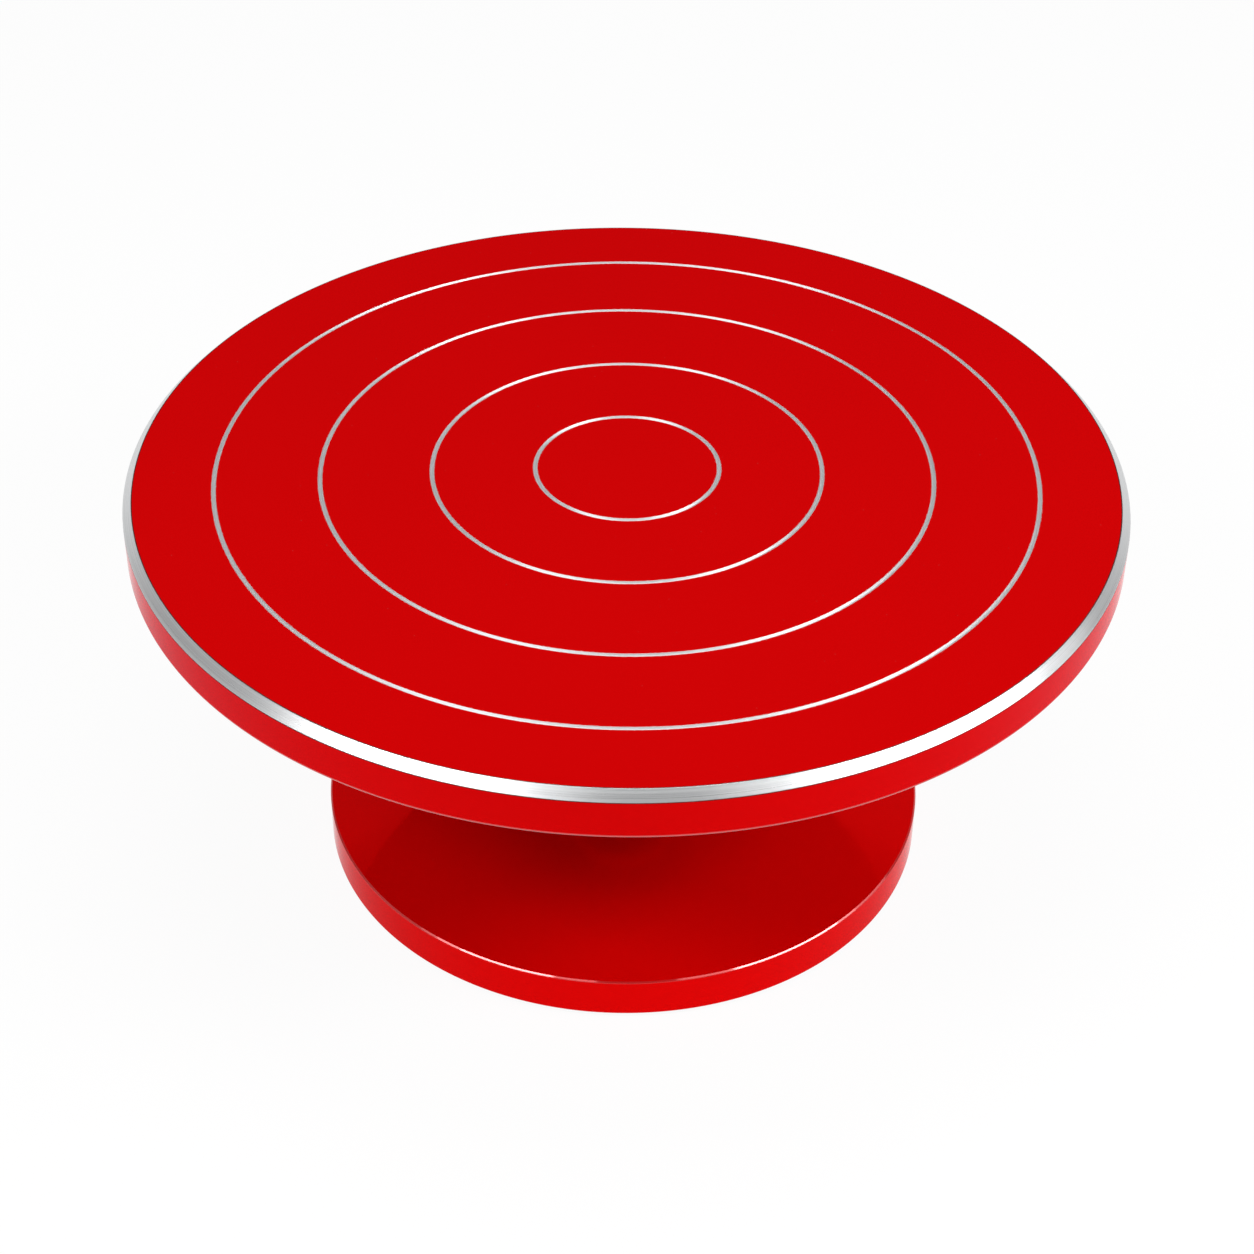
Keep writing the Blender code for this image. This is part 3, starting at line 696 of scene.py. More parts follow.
def turned(corners: Sequence[Corner], sides: int) -> BMesh:
    """Spins an outline round Z into a closed body.

    Args:
        corners: The outline, from axis to axis, or a loop that stays clear of the axis.
        sides: How many sides the body has.

    Returns:
        The body.
    """
    shape = bmesh.new()
    points = [shape.verts.new((corner.radius, 0, corner.height)) for corner in corners]
    for start, end in zip(points, points[1:]):
        shape.edges.new((start, end))
    if corners[0].radius > 0:
        shape.edges.new((points[-1], points[0]))
    for point, corner in zip(points, corners):
        if corner.rounding:
            round_off(shape, point, corner.rounding)
    bmesh.ops.spin(
        shape, geom=shape.verts[:] + shape.edges[:], cent=(0, 0, 0), axis=(0, 0, 1), angle=math.tau,
        steps=sides, use_merge=True,
    )
    bmesh.ops.remove_doubles(shape, verts=shape.verts, dist=WELD)
    bmesh.ops.recalc_face_normals(shape, faces=shape.faces)
    return shape


def around(count: int, pitch_radius: float, start: float = 0.0) -> Iterator[Matrix]:
    """One placement for each of count pieces spread evenly round a pitch circle.

    Args:
        count: How many pieces.
        pitch_radius: Radius of the circle.
        start: Angle of the first piece.

    Returns:
        The placements, in order.
    """
    for index in range(count):
        turn = Matrix.Rotation(start + math.tau * index / count, 4, "Z")
        yield turn @ Matrix.Translation((pitch_radius, 0, 0))


def copied(pattern: BMesh, place: Matrix) -> BMesh:
    """A copy of a shape, moved to its place.

    Args:
        pattern: The shape.
        place: How the copy is moved.

    Returns:
        The copy.
    """
    shape = pattern.copy()
    bmesh.ops.transform(shape, matrix=place, verts=shape.verts)
    return shape


def repeated(pattern: BMesh, places: Iterable[Matrix]) -> BMesh:
    """One shape that holds a copy of the pattern at each place, in the pattern's stead.

    Args:
        pattern: The shape to repeat.
        places: Where the copies go.

    Returns:
        All the copies.
    """
    shape = bmesh.new()
    mesh = bpy.data.meshes.new("pattern")
    pattern.to_mesh(mesh)
    pattern.free()
    for place in places:
        before = len(shape.verts)
        shape.from_mesh(mesh)
        shape.verts.ensure_lookup_table()
        bmesh.ops.transform(shape, matrix=place, verts=shape.verts[before:])
    bpy.data.meshes.remove(mesh)
    return shape


def plain_object(name: str, shape: BMesh) -> Object:
    """Puts a shape in the scene as a plain object.

    Args:
        name: The object's name.
        shape: The shape, which is freed.

    Returns:
        The object.
    """
    mesh = bpy.data.meshes.new(name)
    shape.to_mesh(mesh)
    shape.free()
    made = bpy.data.objects.new(name, mesh)
    bpy.context.scene.collection.objects.link(made)
    return made


def combined(shape: BMesh, tool: BMesh, joining: Joining) -> BMesh:
    """A shape with a tool cut out of it or joined to it.

    Args:
        shape: The body.
        tool: What cuts it or is added to it.
        joining: Which of the two.

    Returns:
        The new body.
    """
    body = plain_object("body", shape)
    helper = plain_object("tool", tool)
    boolean = body.modifiers.new("joining", "BOOLEAN")
    boolean.operation = joining.value
    boolean.solver = "EXACT"
    boolean.object = helper
    graph = bpy.context.evaluated_depsgraph_get()
    mesh = bpy.data.meshes.new_from_object(body.evaluated_get(graph))
    result = bmesh.new()
    result.from_mesh(mesh)
    for passing in (body.data, helper.data, mesh):
        bpy.data.meshes.remove(passing)
    return result


def ring(outer: float, inner: float, top: float, bottom: float, edge: float) -> list[Corner]:
    """Corners of a plain ring.

    Args:
        outer: Its outer radius.
        inner: Its inner radius.
        top: Height of its top.
        bottom: Height of its bottom.
        edge: Radius that rounds its edges.

    Returns:
        The corners.
    """
    return [
        Corner(inner, top, edge),
        Corner(outer, top, edge),
        Corner(outer, bottom, edge),
        Corner(inner, bottom, edge),
    ]


def drill(radius: float, top: float, bottom: float) -> BMesh:
    """A round cutter on the Z axis."""
    corners = [Corner(0, top), Corner(radius, top), Corner(radius, bottom), Corner(0, bottom)]
    return turned(corners, SMALL_SIDES)


def hexagon(radius: float, depth: float, mouth: float) -> BMesh:
    """A cutter for a hexagonal socket that opens downwards.

    Args:
        radius: Radius over the socket's corners.
        depth: How deep the socket is.
        mouth: Height of its mouth.

    Returns:
        The cutter.
    """
    shape = bmesh.new()
    bmesh.ops.create_cone(
        shape, cap_ends=True, segments=6, radius1=radius, radius2=radius, depth=2 * depth
    )
    bmesh.ops.translate(shape, vec=(0, 0, mouth), verts=shape.verts)
    return shape


@dataclass(frozen=True)
class SocketScrew:
    """A screw with a hexagonal socket, head down on the Z axis.

    Attributes:
        radius: Radius over the thread's crests.
        tip: How much narrower its tip is.
        pitch: Distance between crests.
        crest: Height of a crest.
        socket_radius: Radius over the socket's corners.
        socket_depth: How deep the socket is.
        flank: How far the root lies above its crest, as a share of the pitch.
    """

    radius: float
    tip: float
    pitch: float
    crest: float
    socket_radius: float
    socket_depth: float
    flank: float = 0.4

    def thread(self, top: float, bottom: float) -> list[Corner]:
        """Corners of the thread's flanks, from top to bottom.

        Args:
            top: Where the thread begins.
            bottom: Where it ends.

        Returns:
            The corners.
        """
        root = self.radius - self.crest
        corners = []
        for turn in range(int((top - bottom) / self.pitch)):
            crest = top - (turn + 1 / 2) * self.pitch
            corners += [Corner(root, crest + self.flank * self.pitch), Corner(self.radius, crest)]
        return [*corners, Corner(root, bottom)]

    def shape(self, top: float, neck: float, head: Sequence[Corner]) -> BMesh:
        """Builds the screw.

        Args:
            top: Height of its tip.
            neck: Height at which its thread ends.
            head: Corners of its head, from the neck down to the axis.

        Returns:
            The screw.
        """
        tip = [Corner(0, top), Corner(self.radius - self.tip, top)]
        body = turned([*tip, *self.thread(top, neck), *head], SMALL_SIDES)
        socket = hexagon(self.socket_radius, self.socket_depth, head[-1].height)
        return combined(body, socket, Joining.CUT)


class SubAssembly:
    """What the sub-assemblies share: making a shape a finished piece of the scene."""

    def add(self, node: str, shape: BMesh, finishes: Sequence[Finish], body: Body) -> None:
        """Puts a shape in the scene in place of a CAD node.

        Args:
            node: The CAD node that it stands for.
            shape: The shape, which is freed.
            finishes: Its finishes, by material slot.
            body: The body that it moves with.
        """
        piece = plain_object(f"fine_{node}", shape)
        mesh = piece.data
        mesh.shade_smooth()
        mesh.set_sharp_from_angle(angle=SHARP_ANGLE)
        for finish in finishes:
            mesh.materials.append(finish.material())
        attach(piece, body.value)
        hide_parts(node)
        log.info("%s rides on %s with %d faces", piece.name, body.value, len(mesh.polygons))

    def add_copies(
        self, node: str, pattern: BMesh, places: Iterable[Matrix], finish: Finish, body: Body
    ) -> None:
        """Puts a copy of a shape in the scene for each of a row of numbered CAD nodes.

        Args:
            node: The nodes' name, without the number.
            pattern: The shape, which is freed.
            places: Where the copies go.
            finish: Their finish.
            body: The body that they move with.
        """
        for number, place in enumerate(places, 1):
            self.add(f"{node}_{number}", copied(pattern, place), [finish], body)
        pattern.free()


@dataclass
class WheelHead(SubAssembly):
    """The head: top face with guide rings, bare chamfer, rim, web, hub and skirt."""

    finishes: FinishSet
    rim_height: float = 15 * MM
    chamfer: float = 2.65 * MM
    chamfer_edge: float = 0.25 * MM
    chamfer_lean: Span = (0.34, 0.94)  # how far the chamfer's bare faces look up
    edge_spare: float = 1.5  # how far past its rounding an edge is kept clear, against its reach
    rim_edge: float = 1.2 * MM
    paint_line: float = 0.16 * MM
    ring_radii: tuple[float, ...] = (27.6 * MM, 58.5 * MM, 91.8 * MM, 123.2 * MM)
    ring_width: float = 1.3 * MM
    ring_depth: float = 0.6 * MM
    ring_slope: float = 0.32 * MM
    ring_lip: float = 0.12 * MM
    ring_skim: float = 0.02 * MM
    wear_reach: float = 0.35 * MM
    web_radius: float = 84 * MM
    web_drop: float = 11 * MM
    web_blend: float = 30 * MM
    # Faces that look further down take the dark cast finish, painted shade under the head.
    cast_lean: float = -0.5  # faces that look further down than this are left as cast
    hub_radius: float = 36 * MM
    hub_blend: float = 6 * MM
    skirt_inner: float = 31.2 * MM
    skirt_edge: float = 1.2 * MM
    seat: float = 105.3 * MM
    bore: float = 12 * MM
    bore_depth: float = 7 * MM
    screw_count: int = 4
    screw_pitch_radius: float = 20 * MM
    screw_hole: float = 2.8 * MM
    screw_hole_depth: float = 10.3 * MM
    radius: float = field(init=False)
    top: float = field(init=False)
    skirt_bottom: float = field(init=False)

    def __post_init__(self) -> None:
        """Takes the head's outer sizes from its CAD node."""
        low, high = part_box("wheel_head")
        self.radius = high.x
        self.top = high.z
        self.skirt_bottom = low.z

    def guide_ring(self, middle: float) -> list[Corner]:
        """Corners of a guide ring, a groove in the top face, with a row of points beside it.

        Args:
            middle: Radius of the ring.

        Returns:
            The corners, outwards.
        """
        half = self.ring_width / 2
        floor = self.top - self.ring_depth
        return [
            Corner(middle - half - self.wear_reach, self.top),
            Corner(middle - half, self.top, self.ring_lip),
            Corner(middle - half + self.ring_slope, floor, self.ring_lip),
            Corner(middle + half - self.ring_slope, floor, self.ring_lip),
            Corner(middle + half, self.top, self.ring_lip),
            Corner(middle + half + self.wear_reach, self.top),
        ]

    def edge_reach(self) -> float:
        """How far the chamfer's edges reach into the faces beside them, and a little more."""
        return self.edge_spare * self.chamfer_edge * math.tan(math.pi / 8)

    def outline(self) -> list[Corner]:
        """The head's outline, from the middle of its top face to the end of its bore.

        Returns:
            The corners.
        """
        rim_bottom = self.top - self.rim_height
        shoulder = self.top - self.chamfer
        paint_top = shoulder - self.edge_reach()
        paint_bottom = paint_top - self.paint_line
        paint_out = self.radius - self.chamfer - self.edge_reach()
        paint_in = paint_out - self.paint_line
        corners = [Corner(0, self.top)]
        for middle in self.ring_radii:
            corners += self.guide_ring(middle)
        return corners + [
            Corner(paint_in, self.top),
            Corner((paint_in + paint_out) / 2, self.top - self.paint_line / 2),
            Corner(paint_out, self.top),
            Corner(self.radius - self.chamfer, self.top, self.chamfer_edge),
            Corner(self.radius, shoulder, self.chamfer_edge),
            Corner(self.radius, paint_top),
            Corner(self.radius - self.paint_line / 2, (paint_top + paint_bottom) / 2),
            Corner(self.radius, paint_bottom),
            Corner(self.radius, rim_bottom, self.rim_edge),
            Corner(self.web_radius, rim_bottom, self.web_blend),
            Corner(self.hub_radius, rim_bottom - self.web_drop, self.hub_blend),
            Corner(self.hub_radius, self.skirt_bottom, self.skirt_edge),
            Corner(self.skirt_inner, self.skirt_bottom, self.skirt_edge),
            Corner(self.skirt_inner, self.seat),
            Corner(self.bore, self.seat),
            Corner(self.bore, self.seat + self.bore_depth),
            Corner(0, self.seat + self.bore_depth),
        ]

    def screw_places(self) -> Iterator[Matrix]:
        """Where the screws that hold the spindle's flange sit."""
        return around(self.screw_count, self.screw_pitch_radius)

    def upper_skin(self, out: float, drop: float, lean: float) -> Skin:
        """The finish of a face in the upper half of the rim.

        Args:
            out: Distance of its middle from the axis.
            drop: Depth of its middle below the top.
            lean: How far it looks up, from -1 to 1.

        Returns:
            The finish.
        """
        inwards = self.radius - self.chamfer - self.edge_reach() - out
        down = drop - self.chamfer - self.edge_reach()
        least, most = self.chamfer_lean
        nearest = min(abs(out - middle) for middle in self.ring_radii)
        if nearest < self.ring_width and drop > self.ring_skim:
            return Skin.SCORED
        if inwards < 0 and down < 0 and least < lean < most:
            return Skin.BARE
        # Faces in the nicks beside the chamfer take the near-black finish, painted shade.
        if max(inwards, down) < self.paint_line:
            return Skin.NICK_SHADE
        # Inside the paint line the top face takes the darker copy of the red paint, painted light
        # for the stronger light on top.
        return Skin.GLOSS if inwards < 0 else Skin.TOP_PAINTED_LIGHT

    def skin(self, centre: Vector, normal: Vector) -> Skin:
        """The finish of a face.

        Args:
            centre: Its middle.
            normal: Its direction.

        Returns:
            The finish.
        """
        out = math.hypot(centre.x, centre.y)
        drop = self.top - centre.z
        if drop < self.rim_height / 2:
            return self.upper_skin(out, drop, normal.z)
        if out < self.skirt_inner and centre.z > self.skirt_bottom + self.skirt_edge:
            return Skin.BARE
        # The head's underside takes the dark cast finish: painted shade over its real cast grain.
        if normal.z < self.cast_lean and out < self.radius - self.rim_height:
            return Skin.CAST
        # The rim's lower edge takes the strongly reflecting copy of the paint, a boosted, painted
        # highlight.
        on_edge = out > self.radius - self.rim_edge and drop > self.rim_height - self.rim_edge
        return Skin.BOOSTED_HIGHLIGHT if on_edge else Skin.GLOSS

    def wear(self, shape: BMesh) -> None:
        """Marks where the enamel ends at a bare edge.

        Args:
            shape: The head.
        """
        layer = shape.verts.layers.float.new(WEAR)
        half = self.ring_width / 2
        edges = [middle + side for middle in self.ring_radii for side in (-half, half)]
        for vert in shape.verts:
            if self.top - vert.co.z < WELD:
                out = math.hypot(vert.co.x, vert.co.y)
                nearest = min(abs(out - edge) for edge in edges)
                vert[layer] = max(0, 1 - nearest / self.wear_reach)

    def build(self) -> None:
        """Builds the head, drills its hub and dresses it."""
        shape = turned(self.outline(), LARGE_SIDES)
        hole_top = self.seat + self.screw_hole_depth
        hole = drill(self.screw_hole, hole_top, self.seat - self.rim_height)
        shape = combined(shape, repeated(hole, self.screw_places()), Joining.CUT)
        for face in shape.faces:
            face.material_index = self.skin(face.calc_center_median(), face.normal)
        self.wear(shape)
        self.add("wheel_head", shape, self.finishes.casting(), Body.WHEEL)


@dataclass
class BaseCasting(SubAssembly):
    """The base: neck with two bearing seats, flared cone, wall, bottom rim and hollow underside."""

    finishes: FinishSet
    wall_height: float = 13.3 * MM
    edge_width: float = 0.65 * MM
    edge_tilt: float = math.radians(48)
    edge_round: float = 0.2 * MM
    bottom_edge: float = 1 * MM
    slope: float = math.radians(16.5)
    shell: float = 5.3 * MM
    rim_width: float = 18 * MM
    hollow_blend: float = 4 * MM
    # Faces under the base take the dark cast finish, painted shade over the real cast grain.
    cast_lean: float = -0.2  # faces that look further down than this are left as cast
    wall_lean: float = 0.05
    slope_slack: float = 0.005
    neck_radius: float = 30 * MM
    neck_edge: float = 1 * MM
    flare: float = 14 * MM
    neck_bore: float = 20.8 * MM
    boss_radius: float = 36 * MM
    boss_bottom: float = 17 * MM
    seat_radius: float = 23.8 * MM
    seat_edge: float = 0.4 * MM
    clip_groove_radius: float = 25.2 * MM
    clip_groove_width: float = 2.2 * MM
    foot_count: int = 4
    foot_pocket: float = 6.8 * MM
    foot_pocket_top: float = 4 * MM
    screw_count: int = 3
    screw_pitch_radius: float = 29.5 * MM
    screw_hole: float = 2.25 * MM
    screw_hole_depth: float = 8.8 * MM
    radius: float = field(init=False)
    bottom: float = field(init=False)
    neck_top: float = field(init=False)

    def __post_init__(self) -> None:
        """Takes the base's outer sizes from its CAD node."""
        low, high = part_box("base_casting")
        self.radius = high.x
        self.bottom = low.z
        self.neck_top = high.z

    def foot_places(self) -> Iterator[Matrix]:
        """Where the feet sit under the bottom rim."""
        return around(self.foot_count, self.radius - self.rim_width / 2, math.pi / self.foot_count)

    def screw_places(self) -> Iterator[Matrix]:
        """Where the bottom cap's screws sit."""
        return around(self.screw_count, self.screw_pitch_radius, math.pi / 2)

    def bore_outline(self) -> list[Corner]:
        """The bearing seats and the bore between them, from the boss up to the neck's top.

        Returns:
            The corners.
        """
        upper_low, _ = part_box("upper_bearing_outer_race")
        lower_low, lower_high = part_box("lower_bearing_outer_race")
        groove_top = lower_low.z
        groove_bottom = groove_top - self.clip_groove_width
        return [
            Corner(self.seat_radius, self.boss_bottom, self.seat_edge),
            Corner(self.seat_radius, groove_bottom),
            Corner(self.clip_groove_radius, groove_bottom),
            Corner(self.clip_groove_radius, groove_top),
            Corner(self.seat_radius, groove_top),
            Corner(self.seat_radius, lower_high.z + GAP),
            Corner(self.neck_bore, lower_high.z + GAP),
            Corner(self.neck_bore, upper_low.z - GAP),
            Corner(self.seat_radius, upper_low.z - GAP),
        ]

    def outline(self) -> list[Corner]:
        """The base's outline, a loop from the neck's top, down its outside and up its bore.

        Returns:
            The corners.
        """
        rise = math.tan(self.slope)
        corner = self.bottom + self.wall_height
        under = corner - self.shell / math.cos(self.slope)
        hollow = self.radius - self.rim_width
        edge_in = self.radius - self.edge_width * math.sin(self.edge_tilt)
        edge_top = corner + (self.radius - edge_in) * rise
        edge_bottom = edge_top - self.edge_width * math.cos(self.edge_tilt)
        roof = under + (self.radius - self.boss_radius) * rise
        return [
            Corner(self.seat_radius, self.neck_top, self.seat_edge),
            Corner(self.neck_radius, self.neck_top, self.neck_edge),
            Corner(self.neck_radius, corner + (self.radius - self.neck_radius) * rise, self.flare),
            Corner(edge_in, edge_top, self.edge_round),
            Corner(self.radius, edge_bottom, self.edge_round),
            Corner(self.radius, self.bottom, self.bottom_edge),
            Corner(hollow, self.bottom, self.bottom_edge),
            Corner(hollow, under + self.rim_width * rise, self.hollow_blend),
            Corner(self.boss_radius, roof, self.hollow_blend),
            Corner(self.boss_radius, self.boss_bottom, self.seat_edge),
            *self.bore_outline(),
        ]

    def skin(self, centre: Vector, normal: Vector) -> Skin:
        """The finish of a face.

        Args:
            centre: Its middle.
            normal: Its direction.

        Returns:
            The finish.
        """
        out = math.hypot(centre.x, centre.y)
        in_bore = out < self.clip_groove_radius + GAP
        on_boss = out < self.boss_radius - GAP and centre.z < self.boss_bottom + GAP
        if in_bore or on_boss:
            return Skin.BARE
        inward = normal.x * centre.x + normal.y * centre.y < 0
        # The base's hollow and boss take the dark cast finish, painted shade over the real cast
        # grain.
        if out < self.radius - self.bottom_edge and (normal.z < self.cast_lean or inward):
            return Skin.CAST
        boss_top = self.boss_bottom + self.screw_hole_depth
        if out < self.boss_radius + GAP and centre.z < boss_top:
            return Skin.CAST
        # The base's edge facet takes the strongly reflecting copy of the paint, which boosts the
        # lamps' highlights. The rest of the outside takes the base's retuned copy. Both are painted
        # light.
        turned_up = self.wall_lean < normal.z < math.cos(self.slope) - self.slope_slack
        return Skin.BOOSTED_HIGHLIGHT if turned_up and out > self.radius - self.edge_width else Skin.BASE_PAINTED_LIGHT

    def build(self) -> None:
        """Builds the base, with its foot pockets and screw holes, and dresses it."""
        shape = turned(self.outline(), LARGE_SIDES)
        pocket = drill(self.foot_pocket, self.foot_pocket_top, 0)
        hole = drill(self.screw_hole, self.boss_bottom + self.screw_hole_depth, 0)
        shape = combined(shape, repeated(pocket, self.foot_places()), Joining.CUT)
        shape = combined(shape, repeated(hole, self.screw_places()), Joining.CUT)
        for face in shape.faces:
            face.material_index = self.skin(face.calc_center_median(), face.normal)
        self.add("base_casting", shape, self.finishes.casting(), Body.BASE)


@dataclass
class BottomFittings(SubAssembly):
    """The pressed cap that closes the neck from below, its screws, and the feet."""

    finishes: FinishSet
    base: BaseCasting
    cap_thickness: float = 1.5 * MM
    cap_edge: float = 0.5 * MM
    dish_radius: float = 22 * MM
    dish_slope: float = 3 * MM
    dish_depth: float = 2 * MM
    dish_blend: float = 1.5 * MM
    bead_radius: float = 10 * MM
    bead_width: float = 2.4 * MM
    bead_depth: float = 0.5 * MM
    screw: SocketScrew = SocketScrew(
        radius=1.95 * MM, tip=0.5 * MM, pitch=0.7 * MM, crest=0.35 * MM,
        socket_radius=1.45 * MM, socket_depth=1.5 * MM,
    )
    screw_dome: float = 1.6 * MM
    foot_edge: float = 0.8 * MM
    foot_dimple: float = 0.4 * MM

    def cap(self) -> BMesh:
        """The cap: a flat flange round a dish with a stiffening bead.

        Returns:
            The cap.
        """
        _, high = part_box("bottom_cap")
        top = high.z
        thick = self.cap_thickness
        floor = top - self.dish_depth
        inner = self.dish_radius - self.dish_slope
        blend = self.dish_blend
        bead_in = self.bead_radius - self.bead_width
        bead_out = self.bead_radius + self.bead_width
        raised = self.bead_depth
        corners = [
            Corner(0, floor),
            Corner(bead_in, floor, blend),
            Corner(self.bead_radius, floor + raised, blend),
            Corner(bead_out, floor, blend),
            Corner(inner, floor, blend),
            Corner(self.dish_radius, top, blend),
            Corner(high.x, top, self.cap_edge),
            Corner(high.x, top - thick, self.cap_edge),
            Corner(self.dish_radius, top - thick, blend),
            Corner(inner, floor - thick, blend),
            Corner(bead_out, floor - thick, blend),
            Corner(self.bead_radius, floor - thick + raised, blend),
            Corner(bead_in, floor - thick, blend),
            Corner(0, floor - thick),
        ]
        hole = drill(self.base.screw_hole, top + thick, top - 2 * thick)
        holes = repeated(hole, self.base.screw_places())
        return combined(turned(corners, MEDIUM_SIDES), holes, Joining.CUT)

    def cap_screw(self) -> BMesh:
        """A domed socket screw, head down, on the Z axis.

        Returns:
            The screw.
        """
        low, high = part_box("cap_screw_1")
        head_radius = (high.x - low.x) / 2
        head_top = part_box("bottom_cap")[1].z - self.cap_thickness - GAP
        head = [
            Corner(head_radius, head_top, self.screw.tip / 2),
            Corner(head_radius, low.z, self.screw_dome),
            Corner(0, low.z),
        ]
        return self.screw.shape(high.z, head_top, head)

    def foot(self) -> BMesh:
        """A rubber foot with a shallow dimple underneath, on the Z axis.

        Returns:
            The foot.
        """
        low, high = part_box("rubber_foot_1")
        radius = (high.x - low.x) / 2
        corners = [
            Corner(0, high.z),
            Corner(radius, high.z, self.foot_edge / 2),
            Corner(radius, low.z, self.foot_edge),
            Corner(radius / 2, low.z, self.foot_edge),
            Corner(radius / 2 - self.foot_edge, low.z + self.foot_dimple, self.foot_edge),
            Corner(0, low.z + self.foot_dimple),
        ]
        return turned(corners, SMALL_SIDES)

    def build(self) -> None:
        """Builds and dresses the cap, its screws and the feet."""
        self.add("bottom_cap", self.cap(), [self.finishes.zinc], Body.BASE)
        places = self.base.screw_places()
        self.add_copies("cap_screw", self.cap_screw(), places, self.finishes.zinc, Body.BASE)
        places = self.base.foot_places()
        self.add_copies("rubber_foot", self.foot(), places, self.finishes.rubber, Body.BASE)


@dataclass
class Spindle(SubAssembly):
    """The spindle, the screws that hold its flange to the head, the spacer and the shim."""

    finishes: FinishSet
    head: WheelHead
    edge: float = 0.4 * MM
    spigot: float = 11.7 * MM
    spigot_edge: float = 0.8 * MM
    flange_bottom: float = 99 * MM
    collar: float = 12.8 * MM
    race_bore: float = 10 * MM
    end_edge: float = 1 * MM
    centre_hole: float = 1.6 * MM
    clip_groove_depth: float = 0.7 * MM
    clip_play: float = 0.2 * MM
    screw: SocketScrew = SocketScrew(
        radius=2.5 * MM, tip=0.6 * MM, pitch=0.8 * MM, crest=0.4 * MM,
        socket_radius=1.75 * MM, socket_depth=2.2 * MM,
    )
    screw_rim: float = 0.3 * MM

    def body(self) -> BMesh:
        """The spindle: spigot, flange with countersunk holes, collar and shaft.

        Returns:
            The spindle.
        """
        low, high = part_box("spindle")
        clip_low, clip_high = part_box("spindle_circlip")
        groove_top = clip_high.z + self.clip_play
        groove_bottom = clip_low.z - self.clip_play
        flange_top = self.head.seat - GAP
        shaft = self.race_bore - GAP
        groove = shaft - self.clip_groove_depth
        collar_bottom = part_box("upper_bearing_inner_race")[1].z + GAP
        corners = [
            Corner(0, high.z),
            Corner(self.spigot, high.z, self.spigot_edge),
            Corner(self.spigot, flange_top),
            Corner(high.x, flange_top, self.edge),
            Corner(high.x, self.flange_bottom, self.edge),
            Corner(self.collar, self.flange_bottom, self.edge),
            Corner(self.collar, collar_bottom, self.edge),
            Corner(shaft, collar_bottom),
            Corner(shaft, groove_top),
            Corner(groove, groove_top),
            Corner(groove, groove_bottom),
            Corner(shaft, groove_bottom),
            Corner(shaft, low.z, self.end_edge),
            Corner(self.centre_hole, low.z),
            Corner(0, low.z + self.centre_hole),
        ]
        head_low, head_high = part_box("flange_screw_1")
        wide = (head_high.y - head_low.y) / 2 + 2 * GAP
        narrow = self.screw.radius + GAP
        mouth = head_low.z + GAP
        hole = [
            Corner(0, flange_top + GAP),
            Corner(narrow, flange_top + GAP),
            Corner(narrow, mouth + wide - narrow),
            Corner(wide, mouth),
            Corner(wide, self.flange_bottom - GAP),
            Corner(0, self.flange_bottom - GAP),
        ]
        holes = repeated(turned(hole, SMALL_SIDES), self.head.screw_places())
        return combined(turned(corners, MEDIUM_SIDES), holes, Joining.CUT)

    def flange_screw(self) -> BMesh:
        """A countersunk socket screw, head down, on the Z axis.

        Returns:
            The screw.
        """
        low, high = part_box("flange_screw_1")
        head_radius = (high.y - low.y) / 2
        rim = low.z + self.screw_rim
        neck = rim + head_radius - self.screw.radius
        head = [Corner(head_radius, rim), Corner(head_radius, low.z), Corner(0, low.z)]
        return self.screw.shape(high.z, neck, head)

    def build(self) -> None:
        """Builds and dresses the spindle and what is fixed to it."""
        steel = [self.finishes.ground_steel]
        self.add("spindle", self.body(), steel, Body.WHEEL)
        for node in ("spacer_sleeve", "shim_washer"):
            low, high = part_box(node)
            corners = ring(high.x, self.race_bore, high.z, low.z, self.edge / 2)
            self.add(node, turned(corners, MEDIUM_SIDES), steel, Body.WHEEL)
        places = self.head.screw_places()
        black = self.finishes.black_screw
        self.add_copies("flange_screw", self.flange_screw(), places, black, Body.WHEEL)


